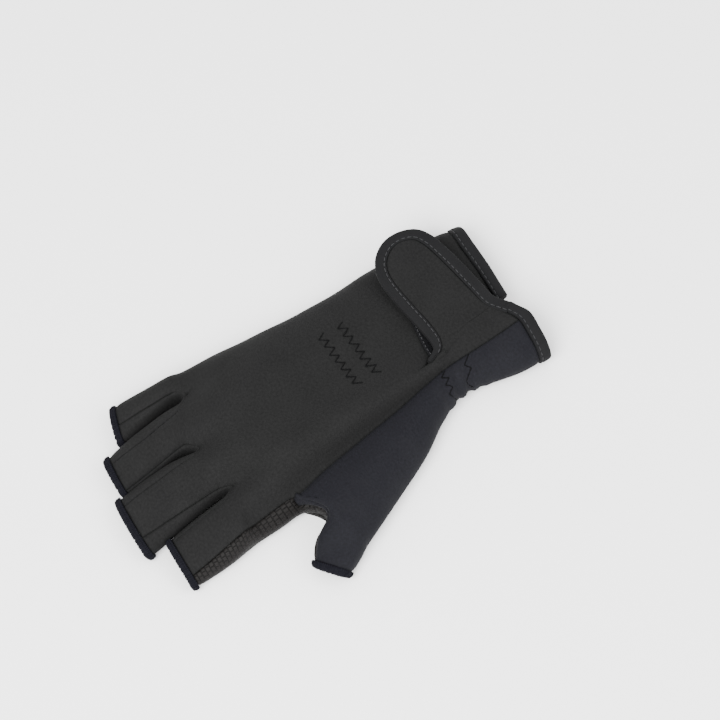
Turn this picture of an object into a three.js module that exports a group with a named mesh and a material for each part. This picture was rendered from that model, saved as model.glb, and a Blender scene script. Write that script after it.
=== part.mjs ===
// Half-finger glove for the right hand, lying with the back of the hand up.
// Millimetres: +Y runs from the cuff to the fingers, -X is the thumb side, z = 0 is the surface under it.
import * as THREE from "three";

const GLOVE_LENGTH = 218;
const PALM_WIDTH = 97;
const PALM_HEIGHT = 26;
const WALL = 2.4;
const SEAM_GAP = 0.3;
const HEM_WIDTH = 3;
const HEM_BULGE = 0.4;
const BINDING_WIDTH = 5.5;
const BINDING_BULGE = 0.6;
const SIDE_INSET = 3.5;
const SIDE_RISE = 1.8;
const BACK_WRAP = 10;
const STRAP_TOP = 0.87 * PALM_HEIGHT;
const STRAP_TILT = 0.02;
const PATCH_THICKNESS = 0.9;
const PATCH_CLEARANCE = 0.35;

// The hand's rows from the cuff to the finger crotches, in plan: x in % of PALM_WIDTH, y in % of GLOVE_LENGTH.
// Columns: thumb side, navy seam, both edges of the slit line, the lines between the fingers, little-finger side.
const PLAN_COLUMNS = ["outer", "seam", "slitThumb", "slitLittle", "middleRing", "ringLittle", "side"];
const PLAN = [
  [-39.7, -51.4, -16.8, -53.2, -5.2, -51.6, -3.1, -50.7, 15.5, -51.1, 30.9, -51.4, 46.4, -51.8],
  [-37.5, -45.6, -19.8, -45.6, -7.2, -45.9, -5.2, -45.6, 13.4, -45.9, 30.9, -45.9, 47.8, -46.3],
  [-35.3, -39.4, -20.4, -39.9, -9.3, -39.7, -7.4, -39.4, 12.4, -39.4, 30.9, -39.4, 48, -39.4],
  [-33.2, -32.6, -21, -32.6, -17.2, -32.6, -10.8, -32.3, 10.8, -32.6, 30.9, -32.6, 48.4, -32.1],
  [-39.7, -25.2, -23, -25.5, -17.6, -25.5, -17.6, -25.5, 8.2, -25.7, 32, -25.2, 47.2, -25.2],
  [-51, -17.7, -26.2, -17.4, -17, -17, -17, -17, 7.7, -17, 33, -16.5, 46.6, -16.5],
  [-62.7, -7.6, -29.5, -6.9, -17.3, -6, -17.3, -6, 7.7, -5.5, 34, -6, 47.7, -6.4],
  [-69.7, -1.6, -33, 3.2, -17.3, 5, -17.3, 5, 8.2, 5.5, 35.6, 4.1, 49.5, 2.8],
  [-74.6, 3, -36.6, 12.4, -17.1, 13.8, -17.1, 13.8, 8.8, 14.2, 36.9, 11.5, 51.1, 9.6],
  [-79.6, 7.6, -39.6, 23.2, -17, 21.9, -17, 21.9, 9.3, 22.8, 37.6, 17.8, 52.6, 15.6],
];
const CROTCH_ROW = PLAN.length - 1;
const SLIT_END_ROW = 4;

// Heights of the upper side at the same rows, in % of PALM_HEIGHT.
const HEIGHT_COLUMNS = ["navyOuter", "navyInner", "seam", "index", "slitThumb", "slitLittle", "middle",
  "middleRing", "ring", "ringLittle", "shoulder"];
const HEIGHTS = [
  [55.8, 70, 74.2, 76.9, 78.8, 59.6, 60, 60, 59.6, 57.7, 50],
  [55.8, 69.2, 73.1, 78.8, 82.7, 60.8, 62.7, 63.8, 63.5, 60.8, 51.9],
  [53.8, 66.9, 71.5, 80, 84.6, 62.3, 64.6, 65.4, 65.4, 63.5, 53.1],
  [52.3, 64.6, 69.2, 79.2, 86.5, 66.9, 70, 70.4, 70, 66.2, 53.8],
  [55.4, 65.4, 65.4, 86.9, 92.3, 92.3, 79.2, 76.9, 76.9, 71.2, 55.8],
  [58.5, 67.7, 61.5, 92.3, 97.7, 97.7, 80.8, 79.2, 80.8, 75, 57.7],
  [63.1, 70.8, 59.2, 94.2, 100, 100, 86.9, 84.6, 86.9, 78.5, 59.6],
  [66.9, 72.3, 56.9, 90.8, 97.7, 97.7, 92.3, 90, 90.8, 78.5, 60],
  [67.7, 70, 53.8, 86.9, 90.8, 90.8, 92.3, 88.5, 90.8, 74.6, 60],
  [67.7, 70, 48.5, 79.2, 60, 60, 84.6, 60, 83.1, 57.7, 55.4],
];

// Under the hand, x in % of PALM_WIDTH at the same rows: where the palm turns to the thumb, and the navy seam.
const UNDER = [
  [-11.3, -18], [-12.9, -18.6], [-14.4, -19.1], [-17, -21.6], [-20.6, -26.3],
  [-26.8, -38.1], [-33, -50], [-39.2, -58.2], [-44.8, -63.4], [-43.3, -70],
];

// Digit sections from the crotch to the open end: the two edges in plan in %, the height in % of PALM_HEIGHT,
// and the seams' angles in degrees, clockwise from the near upper one.
const STATION_COLUMNS = ["nearX", "nearY", "farX", "farY", "height", "nearTop", "farTop", "farLow", "nearLow"];
const CORNERS = STATION_COLUMNS.slice(5);
const STATION_STEP = 10;
const FULL_TURN = 360;
const DIGITS = {
  index: {
    overhang: 2.6,
    nearPower: 1.25,
    stations: [
      [-47.6, 25.5, -17.4, 24.5, 73.1, 127, 52, -38, -142],
      [-49.9, 33, -20.8, 32.3, 65.4, 130, 54, -38, -142],
      [-48.7, 42, -25.6, 40.8, 55.8, 148, 48, -38, -142],
    ],
  },
  middle: {
    overhang: 4.4,
    nearPower: 0.85,
    stations: [
      [-16.1, 24.8, 11.8, 25.2, 78.8, 146, 60, -38, -142],
      [-19.5, 33.9, 10.5, 34.4, 69.2, 140, 58, -38, -142],
      [-24.7, 45, 8.7, 46.3, 57.7, 122, 58, -38, -142],
    ],
  },
  ring: {
    overhang: 4.2,
    nearPower: 0.85,
    stations: [
      [13.2, 25.5, 37.3, 20.4, 78.8, 150, 72, -38, -142],
      [12.1, 33.5, 35.3, 30.3, 67.3, 158, 70, -38, -142],
      [10.9, 42.7, 31.1, 42, 55.8, 150, 66, -38, -142],
    ],
  },
  little: {
    overhang: 4,
    nearPower: 0.85,
    stations: [
      [39.2, 20.4, 52.9, 18.1, 67.3, 126, 0, -62, -142],
      [36.9, 28, 52.8, 24.8, 61.5, 118, 0, -62, -142],
      [34.8, 35.8, 54.2, 32.3, 53.8, 112, 0, -62, -142],
    ],
  },
  thumb: {
    overhang: 5.6,
    nearPower: 0.85,
    stations: [
      [-76.7, 4.8, -54, 11.2, 71.2, 180, 38, -50, -110],
      [-81.4, 8.5, -62.5, 15, 64.6, 180, 48, -50, -110],
      [-87.2, 12.3, -72.2, 18.6, 53.8, 180, 58, -50, -110],
    ],
  },
};

// The strap in plan, as shares like the rows: points along its free edge, then the tape's width there in mm.
const STRAP_EDGE = [
  [-4.5, -51.5, 5.5], [-1.5, -51.1, 5.5], [5, -49.3, 5.5], [13, -47.7, 5.5], [31, -46.4, 5.5],
  [40.5, -45.4, 5.5], [47.5, -42.7, 5.5], [50.6, -39, 5.5], [48, -35.3, 5.5], [41, -32.4, 5.5],
  [33, -31.5, 5.5], [14, -31.6, 5.5], [0, -31.9, 5.5], [-8.5, -32.1, 4.6], [-11.8, -31.4, 3.4],
  [-13.4, -29.8, 2.2], [-15, -28.3, 1.5],
];

// Point of a smooth curve through a list, between entries i and i + 1.
function curvePoint(list, i, t) {
  const p1 = list[i];
  const p2 = list[i + 1];
  const p0 = list[i - 1] ?? p1.clone().multiplyScalar(2).sub(p2);
  const p3 = list[i + 2] ?? p2.clone().multiplyScalar(2).sub(p1);
  const knots = [0];
  for (const [a, b] of [[p0, p1], [p1, p2], [p2, p3]]) {
    knots.push(knots.at(-1) + Math.sqrt(Math.max(a.distanceTo(b), 1e-6)));
  }
  const at = knots[1] + t * (knots[2] - knots[1]);
  const mix = (a, b, ka, kb) => a.clone().lerp(b, (at - ka) / (kb - ka));
  const a1 = mix(p0, p1, knots[0], knots[1]);
  const a2 = mix(p1, p2, knots[1], knots[2]);
  const a3 = mix(p2, p3, knots[2], knots[3]);
  return mix(mix(a1, a2, knots[0], knots[2]), mix(a2, a3, knots[1], knots[3]), knots[1], knots[2]);
}

const onFloor = (p) => p.setZ(Math.max(0, p.z));
const planPoint = (x, y, z = 0) => new THREE.Vector3((x * PALM_WIDTH) / 100, (y * GLOVE_LENGTH) / 100, z);

// The named points of one row of the hand.
function controlRow(k) {
  const at = {};
  PLAN_COLUMNS.forEach((name, i) => (at[name] = planPoint(PLAN[k][2 * i], PLAN[k][2 * i + 1])));
  const heights = {};
  HEIGHT_COLUMNS.forEach((name, i) => (heights[name] = (HEIGHTS[k][i] * PALM_HEIGHT) / 100));
  at.navyOuter = at.outer.clone().lerp(at.seam, 0.2);
  at.navyInner = at.outer.clone().lerp(at.seam, 0.6);
  at.index = at.seam.clone().lerp(at.slitThumb, 0.5);
  at.middle = at.slitLittle.clone().lerp(at.middleRing, 0.5);
  at.ring = at.middleRing.clone().lerp(at.ringLittle, 0.5);
  at.shoulder = at.ringLittle.clone().lerp(at.side, 0.72);
  for (const name of HEIGHT_COLUMNS) at[name].z = heights[name];
  at.outer.z = 0.5 * heights.navyOuter;
  at.side.z = 0.55 * heights.shoulder;

  const line = [at.outer, at.seam, at.slitLittle, at.middleRing, at.ringLittle, at.side];
  const under = (x, z = 0) => {
    let i = 0;
    while (i < line.length - 2 && x > line[i + 1].x) i++;
    const share = (x - line[i].x) / (line[i + 1].x - line[i].x);
    return new THREE.Vector3(x, THREE.MathUtils.lerp(line[i].y, line[i + 1].y, share), z);
  };
  at.sideLow = under(at.side.x - SIDE_INSET, SIDE_RISE);
  at.wrap = under(at.side.x - BACK_WRAP);
  at.ringLittleLow = under(at.ringLittle.x);
  at.middleRingLow = under(at.middleRing.x);
  at.indexMiddleLow = under(at.slitLittle.x);
  at.turn = under((UNDER[k][0] * PALM_WIDTH) / 100);
  at.navyLow = under((UNDER[k][1] * PALM_WIDTH) / 100);
  at.outerLow = under(at.outer.x + SIDE_INSET, SIDE_RISE);
  const sideX = Math.min(at.turn.x, at.seam.x);
  at.indexSideLow = new THREE.Vector3(at.turn.x - 2.8, at.turn.y, 0.27 * at.seam.z);
  at.indexSide = new THREE.Vector3(sideX - 2.4, THREE.MathUtils.lerp(at.turn.y, at.seam.y, 0.6), 0.67 * at.seam.z);
  return at;
}

const CONTROLS = PLAN.map((_, k) => controlRow(k));

// The named points at a row number that may lie between two rows of the tables.
function controlsAt(row) {
  const k = Math.min(Math.floor(row), CROTCH_ROW - 1);
  const at = {};
  for (const name of Object.keys(CONTROLS[0])) {
    const column = CONTROLS.map((c) => c[name]);
    at[name] = onFloor(curvePoint(column, k, row - k));
  }
  return at;
}

// The stretches of one row, clockwise from the thumb side as seen from the cuff. Each is a list of points.
function handRow(row) {
  const at = controlsAt(row);
  const slit = row < SLIT_END_ROW;
  const round = [at.navyLow, at.outerLow, at.outer, at.navyOuter, at.navyInner, at.seam, at.index, at.slitThumb];
  const across = [at.slitLittle, at.middle, at.middleRing, at.ring, at.ringLittle, at.shoulder, at.side, at.sideLow,
    at.wrap, at.ringLittleLow];
  const whole = [...round, ...across.slice(1)];
  const first = slit ? round : whole;
  const second = slit ? across : whole;
  const shift = slit ? 0 : round.length - 1;
  const stretch = (list, spans) => {
    const points = [list[spans[0][0]].clone()];
    for (const [i, cells] of spans) {
      for (let c = 1; c <= cells; c++) points.push(onFloor(curvePoint(list, i, c / cells)));
    }
    return points;
  };
  const straight = (a, b, cells) => Array.from({ length: cells + 1 }, (_, c) => a.clone().lerp(b, c / cells));
  return {
    navyUnder: stretch(first, [[0, 1], [1, 2]]),
    navyTop: stretch(first, [[2, 2], [3, 2], [4, 2]]),
    indexTop: stretch(first, [[5, 2], [6, 2]]),
    middleTop: stretch(second, [[shift, 2], [shift + 1, 2]]),
    ringTop: stretch(second, [[shift + 2, 2], [shift + 3, 2]]),
    littleTop: stretch(second, [[shift + 4, 2], [shift + 5, 2]]),
    littleSide: stretch(second, [[shift + 6, 2], [shift + 7, 1]]),
    littlePalm: straight(at.wrap, at.ringLittleLow, 2),
    ringPalm: straight(at.ringLittleLow, at.middleRingLow, 4),
    middlePalm: straight(at.middleRingLow, at.indexMiddleLow, 4),
    indexPalm: straight(at.indexMiddleLow, at.turn, 4),
    thumbPalm: straight(at.turn, at.navyLow, 3),
    indexSide: [at.turn, at.indexSideLow, at.indexSide, at.seam],
  };
}

const AROUND = ["middleTop", "ringTop", "littleTop", "littleSide", "littlePalm", "ringPalm", "middlePalm",
  "indexPalm", "thumbPalm", "navyUnder", "navyTop", "indexTop"];

// Joins stretches end to end without repeating their shared points.
const joined = (...lists) => lists.flatMap((list, i) => (i ? list.slice(1) : list));

// The web of a crotch, from the upper point down to the palm.
function web(top, low) {
  const points = [top.clone()];
  for (const share of [0.66, 0.3]) {
    points.push(new THREE.Vector3(top.x, THREE.MathUtils.lerp(low.y, top.y, share) + 1.5, share * top.z));
  }
  points.push(low.clone());
  return points;
}

// One loop of a digit at t = 0 (crotch) to 1 (open end). cells holds the four stretches' cell counts.
function digitLoop(digit, cells, t) {
  const { stations, overhang, nearPower } = DIGITS[digit];
  const i = Math.min(Math.floor(t * 2), 1);
  const local = t * 2 - i;
  const station = (n, name) => stations[n][STATION_COLUMNS.indexOf(name)];
  const blend = (name) => {
    const list = stations.map((_, n) => new THREE.Vector3(n * STATION_STEP, station(n, name), 0));
    return curvePoint(list, i, local).y;
  };
  const near = planPoint(blend("nearX"), blend("nearY"));
  const far = planPoint(blend("farX"), blend("farY"));
  const height = (blend("height") * PALM_HEIGHT) / 100;
  const corners = CORNERS.map((name) => THREE.MathUtils.lerp(station(i, name), station(i + 1, name), local));
  corners.push(corners[0] - FULL_TURN);
  const centre = near.clone().lerp(far, 0.5);
  const half = far.clone().sub(near).multiplyScalar(0.5);
  const forward = new THREE.Vector3(-half.y, half.x, 0).normalize();
  const middle = 0.45 * height;
  const power = (value, exponent) => Math.sign(value) * Math.abs(value) ** exponent;
  return cells.map((count, side) => {
    const points = [];
    for (let c = 0; c <= count; c++) {
      const angle = THREE.MathUtils.degToRad(THREE.MathUtils.lerp(corners[side], corners[side + 1], c / count));
      const exponent = Math.cos(angle) < 0 && Math.sin(angle) > 0 ? nearPower : 0.85;
      const u = power(Math.cos(angle), exponent);
      const v = power(Math.sin(angle), exponent);
      const z = v > 0 ? middle + v * (height - middle) : Math.max(0, middle * (1 + 1.25 * v));
      const lean = overhang * t * (z / height - 0.5);
      points.push(centre.clone().addScaledVector(half, u).addScaledVector(forward, lean).setZ(z));
    }
    return points;
  });
}

// The whole outer skin: triangles tagged with the panel that they belong to, over shared points.
class Skin {
  constructor() {
    this.points = [];
    this.keys = new Map();
    this.faces = [];
  }

  pointIndex(p) {
    const key = [p.x, p.y, p.z].map((v) => Math.round(v * 1e3)).join(",");
    if (!this.keys.has(key)) {
      this.keys.set(key, this.points.length);
      this.points.push(p.clone());
    }
    return this.keys.get(key);
  }

  addGrid(panel, rows) {
    for (let r = 0; r + 1 < rows.length; r++) {
      for (let c = 0; c + 1 < rows[r].length; c++) {
        const [a, b, d, e] = [rows[r][c], rows[r][c + 1], rows[r + 1][c + 1], rows[r + 1][c]];
        const across = a.distanceTo(d) <= b.distanceTo(e);
        for (const corner of across ? [[a, b, d], [a, d, e]] : [[a, b, e], [b, d, e]]) {
          const face = corner.map((p) => this.pointIndex(p));
          if (new Set(face).size === 3) this.faces.push({ panel, face });
        }
      }
    }
  }

  normals() {
    const sums = this.points.map(() => new THREE.Vector3());
    for (const { face } of this.faces) {
      const [a, b, c] = face.map((i) => this.points[i]);
      const n = b.clone().sub(a).cross(c.clone().sub(a));
      for (const i of face) sums[i].add(n);
    }
    return sums.map((n) => n.normalize());
  }

  // One panel as a closed shell, its edges drawn back by half a seam gap.
  panelGeometry(panel, normals) {
    const faces = this.faces.filter((f) => f.panel === panel).map((f) => f.face);
    const edges = new Map();
    for (const [a, b, c] of faces) {
      for (const [i, j] of [[a, b], [b, c], [c, a]]) {
        if (!edges.delete(j + "," + i)) edges.set(i + "," + j, [i, j]);
      }
    }
    const pulls = new Map();
    for (const [i, j] of edges.values()) {
      const along = this.points[j].clone().sub(this.points[i]);
      for (const k of [i, j]) {
        const inward = normals[k].clone().cross(along).normalize();
        pulls.set(k, [...(pulls.get(k) ?? []), inward]);
      }
    }
    const moved = (k) => {
      const p = this.points[k].clone();
      if (!pulls.has(k)) return p;
      const sum = pulls.get(k).reduce((s, v) => s.add(v), new THREE.Vector3());
      const mitre = Math.min(1.8, pulls.get(k).length / Math.max(sum.length(), 1e-6));
      return p.addScaledVector(sum.normalize(), (SEAM_GAP / 2) * mitre);
    };
    const outer = new Map();
    const inner = new Map();
    for (const k of new Set(faces.flat())) {
      outer.set(k, onFloor(moved(k)));
      inner.set(k, moved(k).addScaledVector(normals[k], -WALL));
    }
    const triangles = [];
    for (const [a, b, c] of faces) {
      triangles.push(outer.get(a), outer.get(b), outer.get(c));
      triangles.push(inner.get(c), inner.get(b), inner.get(a));
    }
    for (const [i, j] of edges.values()) {
      const [p, q, s, t] = [outer.get(j), outer.get(i), inner.get(i), inner.get(j)];
      if (i < j) triangles.push(p, q, s, p, s, t);
      else triangles.push(p, q, t, q, s, t);
    }
    return new THREE.BufferGeometry().setFromPoints(triangles);
  }
}

const DIGIT_SIDES = {
  index: {
    cells: [4, 3, 4, 3],
    panels: ["back_panel", "index_middle_fourchette", "palm_panel", "palm_panel"],
  },
  middle: {
    cells: [4, 3, 4, 3],
    panels: ["back_panel", "middle_ring_fourchette", "palm_panel", "index_middle_fourchette"],
  },
  ring: {
    cells: [4, 3, 4, 3],
    panels: ["back_panel", "ring_little_fourchette", "palm_panel", "middle_ring_fourchette"],
  },
  little: {
    cells: [4, 3, 2, 3],
    panels: ["back_panel", "back_panel", "palm_panel", "ring_little_fourchette"],
  },
  thumb: {
    cells: [6, 3, 3, 3],
    panels: ["thumb_panel", "palm_panel", "palm_panel", "thumb_panel"],
  },
};
const HAND_PANELS = {
  navyUnder: "thumb_panel",
  navyTop: "thumb_panel",
  indexTop: "back_panel",
  middleTop: "back_panel",
  ringTop: "back_panel",
  littleTop: "back_panel",
  littleSide: "back_panel",
  littlePalm: "palm_panel",
  ringPalm: "palm_panel",
  middlePalm: "palm_panel",
  indexPalm: "palm_panel",
  thumbPalm: "palm_panel",
  indexSide: "palm_panel",
};
const CUFF_BAND = BINDING_WIDTH / (((PLAN[1][1] - PLAN[0][1]) * GLOVE_LENGTH) / 100);
const ROWS_BELOW_THUMB = [CUFF_BAND, 0.72, 1, 1.33, 1.67, 2, 2.33, 2.67, 3, 3.33, 3.67, 4, 4.33, 4.67, 5, 5.33,
  5.67, 6, 6.33, 6.67, 7, 7.5, 8];
const ROWS_ABOVE_THUMB = [8, 8.33, 8.67, 9];

const digitLength = (digit) => {
  const [first, , last] = DIGITS[digit].stations.map((s) => planPoint(s[0] + s[2], s[1] + s[3]).multiplyScalar(0.5));
  return last.distanceTo(first);
};

function buildSkin() {
  const skin = new Skin();
  const below = ROWS_BELOW_THUMB.map(handRow);
  const above = ROWS_ABOVE_THUMB.map(handRow);
  for (const name of AROUND) skin.addGrid(HAND_PANELS[name], below.map((row) => row[name]));
  const stop = AROUND.filter((name) => !["thumbPalm", "navyUnder", "navyTop"].includes(name));
  for (const name of [...stop, "indexSide"]) skin.addGrid(HAND_PANELS[name], above.map((row) => row[name]));

  const crotch = above.at(-1);
  const thumbRow = above[0];
  const webs = {
    indexMiddle: web(crotch.indexTop.at(-1), crotch.middlePalm.at(-1)),
    middleRing: web(crotch.middleTop.at(-1), crotch.ringPalm.at(-1)),
    ringLittle: web(crotch.ringTop.at(-1), crotch.littlePalm.at(-1)),
  };
  const back = (list) => [...list].reverse();
  const starts = {
    index: [crotch.indexTop, webs.indexMiddle, crotch.indexPalm, crotch.indexSide],
    middle: [crotch.middleTop, webs.middleRing, crotch.middlePalm, back(webs.indexMiddle)],
    ring: [crotch.ringTop, webs.ringLittle, crotch.ringPalm, back(webs.middleRing)],
    little: [crotch.littleTop, crotch.littleSide, crotch.littlePalm, back(webs.ringLittle)],
    thumb: [thumbRow.navyTop, back(thumbRow.indexSide), thumbRow.thumbPalm, thumbRow.navyUnder],
  };
  for (const [digit, { cells, panels }] of Object.entries(DIGIT_SIDES)) {
    const end = 1 - HEM_WIDTH / digitLength(digit);
    const loops = [0, 0.25, 0.5, 0.75, 1].map((share) => digitLoop(digit, cells, share * end));
    panels.forEach((panel, side) => {
      const rows = [starts[digit][side], ...loops.map((loop) => loop[side])];
      if (digit === "thumb" && side === 1) {
        skin.addGrid("thumb_panel", rows.map((row) => row.slice(0, 2)));
        skin.addGrid(panel, rows.map((row) => row.slice(1)));
      } else {
        skin.addGrid(panel, rows);
      }
    });
  }
  return skin;
}

// Normals of a grid of points, from the lines that cross at each of them.
function gridNormals(rows, closed) {
  const clamp = (v, top) => Math.min(Math.max(v, 0), top);
  return rows.map((row, r) =>
    row.map((_, c) => {
      const last = row.length - 1;
      const next = closed ? row[(c + 1) % row.length] : row[clamp(c + 1, last)];
      const before = closed ? row[(c + last) % row.length] : row[clamp(c - 1, last)];
      const up = rows[clamp(r + 1, rows.length - 1)][c];
      const down = rows[clamp(r - 1, rows.length - 1)][c];
      return next.clone().sub(before).cross(up.clone().sub(down)).normalize();
    }),
  );
}

// A band over a grid: out and inn say how far each row's two skins stand off the grid.
function bandGeometry(rows, closed, out, inn) {
  const normals = gridNormals(rows, closed);
  const width = rows[0].length;
  const ring = (c) => {
    const upper = rows.map((row, r) => onFloor(row[c].clone().addScaledVector(normals[r][c], out[r])));
    const lower = rows.map((row, r) => row[c].clone().addScaledVector(normals[r][c], inn[r]));
    return [...upper, ...lower.reverse()];
  };
  const rings = Array.from({ length: width }, (_, c) => ring(c));
  const triangles = [];
  const size = rings[0].length;
  for (let c = 0; c < (closed ? width : width - 1); c++) {
    const a = rings[c];
    const b = rings[(c + 1) % width];
    for (let k = 0; k < size; k++) {
      const n = (k + 1) % size;
      triangles.push(a[k], b[k], b[n], a[k], b[n], a[n]);
    }
  }
  if (!closed) {
    const half = rows.length;
    for (const [cap, flip] of [[rings[0], false], [rings.at(-1), true]]) {
      for (let k = 0; k + 1 < half; k++) {
        const quad = [cap[k], cap[k + 1], cap[size - 2 - k], cap[size - 1 - k]];
        const [p, q, s, t] = flip ? [...quad].reverse() : quad;
        triangles.push(p, q, s, p, s, t);
      }
    }
  }
  return new THREE.BufferGeometry().setFromPoints(triangles);
}

function hemGeometry(digit) {
  const share = HEM_WIDTH / digitLength(digit);
  const gap = (2 * SEAM_GAP) / digitLength(digit);
  const { cells } = DIGIT_SIDES[digit];
  const rows = [1 - share + gap, 1 - share / 2, 1].map((t) => joined(...digitLoop(digit, cells, t)).slice(0, -1));
  const out = [0.1, HEM_BULGE, 0.1];
  return bandGeometry(rows, true, out, out.map((v) => -WALL - v));
}

function cuffGeometry() {
  const gap = SEAM_GAP / ((PLAN[1][1] - PLAN[0][1]) / 100) / GLOVE_LENGTH;
  const rows = [0, CUFF_BAND / 2, CUFF_BAND - gap].map((row) => {
    const stretches = handRow(row);
    return joined(...AROUND.map((name) => stretches[name]));
  });
  const out = [0.1, BINDING_BULGE, 0.1];
  return bandGeometry(rows, false, out, out.map((v) => -WALL - v));
}

function loopPatchGeometry() {
  const rows = [1.05, 1.4, 1.8, 2.2, 2.6, 2.98].map((row) => {
    const { middleTop, ringTop, littleTop } = handRow(row);
    const list = joined(middleTop, ringTop, littleTop.slice(0, 3));
    list[0] = list[0].clone().lerp(list[1], 0.15);
    return list;
  });
  const low = rows.map(() => PATCH_CLEARANCE);
  return bandGeometry(rows, false, low.map((v) => v + PATCH_THICKNESS), low);
}

// The strap's outlines: its free edge, the tape's inner edge, and the face inside that.
function strapOutlines() {
  const edge = STRAP_EDGE.map(([x, y]) => planPoint(x, y));
  const smooth = [];
  const widths = [];
  for (let i = 0; i + 1 < edge.length; i++) {
    for (const t of [0, 0.5]) {
      smooth.push(curvePoint(edge, i, t));
      widths.push(THREE.MathUtils.lerp(STRAP_EDGE[i][2], STRAP_EDGE[i + 1][2], t));
    }
  }
  smooth.push(edge.at(-1));
  widths.push(STRAP_EDGE.at(-1)[2]);
  const inset = (extra) =>
    smooth.map((p, i) => {
      const ahead = smooth[Math.min(i + 1, smooth.length - 1)];
      const behind = smooth[Math.max(i - 1, 0)];
      const along = ahead.clone().sub(behind).normalize();
      return new THREE.Vector3(p.x - along.y * (widths[i] + extra), p.y + along.x * (widths[i] + extra), 0);
    });
  return { free: smooth, tape: inset(0), face: inset(SEAM_GAP) };
}

// A flat outline raised to the strap's height, from its underside plus low to that plus high.
function strapSlab(points, low, high) {
  const shape = new THREE.Shape(points.map((p) => new THREE.Vector2(p.x, p.y)));
  const slab = new THREE.ExtrudeGeometry(shape, { depth: high - low, bevelEnabled: false });
  return slab
    .rotateY(-Math.atan(STRAP_TILT))
    .translate(0, 0, STRAP_TOP - WALL + low);
}

function strapGeometries() {
  const { free, tape, face } = strapOutlines();
  const root = [CUFF_BAND + 0.05, 1, 1.5, 2, 2.35].map((row) => controlsAt(row).slitThumb);
  root.forEach((p) => (p.x += 2 * SEAM_GAP));
  const beside = (p) => p.x > (p.y < root[1].y ? root[0].x : root.at(-1).x + SEAM_GAP);
  const faceEdge = [...face.filter(beside), ...root.reverse()];
  const hook = face.filter((p) => p.x > 0.14 * PALM_WIDTH).map((p) => p.clone());
  const centre = hook.reduce((s, p) => s.add(p), new THREE.Vector3()).divideScalar(hook.length);
  const hookEdge = hook.map((p) => p.lerp(centre, 0.16));
  return {
    strap: strapSlab(faceEdge, 0, WALL),
    tape: strapSlab([...free, ...[...tape].reverse()], -BINDING_BULGE / 2, WALL + BINDING_BULGE / 2),
    hook: strapSlab(hookEdge, -SEAM_GAP - PATCH_THICKNESS, -SEAM_GAP),
  };
}

const COLOURS = {
  back_panel: 0x323230,
  palm_panel: 0x463e3c,
  thumb_panel: 0x323038,
};

const glove = new THREE.Group();
glove.name = "fishing_glove";

function addPiece(name, geometry) {
  geometry.computeVertexNormals();
  const mesh = new THREE.Mesh(geometry, new THREE.MeshStandardMaterial({ color: COLOURS[name] ?? 0x2a2a2c }));
  mesh.name = name;
  glove.add(mesh);
}

const skin = buildSkin();
const skinNormals = skin.normals();
for (const panel of new Set(skin.faces.map((f) => f.panel))) {
  addPiece(panel, skin.panelGeometry(panel, skinNormals));
}
for (const digit of Object.keys(DIGITS)) addPiece(digit + "_hem", hemGeometry(digit));
addPiece("cuff_binding", cuffGeometry());
const strapPieces = strapGeometries();
addPiece("wrist_strap", strapPieces.strap);
addPiece("strap_binding", strapPieces.tape);
addPiece("hook_patch", strapPieces.hook);
addPiece("loop_patch", loopPatchGeometry());

export default glove;
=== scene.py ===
"""Half-finger glove for the right hand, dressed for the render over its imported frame.

Lengths in this file are millimetres in the frame's axes, and meshes are made in metres.
"""

import logging
import math
from collections.abc import Iterable, Sequence
from dataclasses import dataclass, field
from enum import Enum

import bpy
import numpy as np
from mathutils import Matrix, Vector
from mathutils.kdtree import KDTree


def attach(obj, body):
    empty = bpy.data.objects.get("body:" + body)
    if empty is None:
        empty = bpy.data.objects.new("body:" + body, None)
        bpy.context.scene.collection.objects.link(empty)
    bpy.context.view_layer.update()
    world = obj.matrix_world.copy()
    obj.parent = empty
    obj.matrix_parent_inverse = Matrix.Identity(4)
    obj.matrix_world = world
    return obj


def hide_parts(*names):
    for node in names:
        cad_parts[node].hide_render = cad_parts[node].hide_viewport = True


LOG = logging.getLogger("glove")
MM = 0.001

Points = np.ndarray
HandRow = dict[str, np.ndarray]
Faces = list[tuple[int, ...]]
Measures = list[tuple[tuple[float, float], ...]]


@dataclass(frozen=True)
class ZigzagRow:
    """A row of zigzag stitches: its ends on the plan, its teeth and how far they swing, in mm."""

    start: tuple[float, float]
    end: tuple[float, float]
    teeth: int
    swing: float


BACK_ROWS = (
    ZigzagRow((-7.5, -38.5), (25.5, -38.5), 7, 2.1),
    ZigzagRow((-7.5, -27.6), (25.0, -27.6), 7, 2.1),
)
THUMB_ROWS = (
    ZigzagRow((-20.5, -79.0), (-32.5, -73.5), 2, 1.7),
    ZigzagRow((-21.0, -65.2), (-34.0, -63.6), 3, 1.5),
)


@dataclass(frozen=True)
class GloveSize:
    """The sizes that every piece shares, in millimetres."""

    length: float = 218.0
    palm_width: float = 97.0
    palm_height: float = 26.0
    wall: float = 2.4
    hem_width: float = 3.0
    hem_bulge: float = 0.4
    binding_width: float = 6.2
    binding_bulge: float = 0.6
    side_inset: float = 3.5
    side_rise: float = 1.8
    back_wrap: float = 10.0
    strap_tilt: float = 0.02
    patch_thickness: float = 0.9
    patch_clearance: float = 0.35

    @property
    def strap_top(self) -> float:
        """Height of the strap's face where x is zero."""
        return 0.87 * self.palm_height


SIZE = GloveSize()

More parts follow.
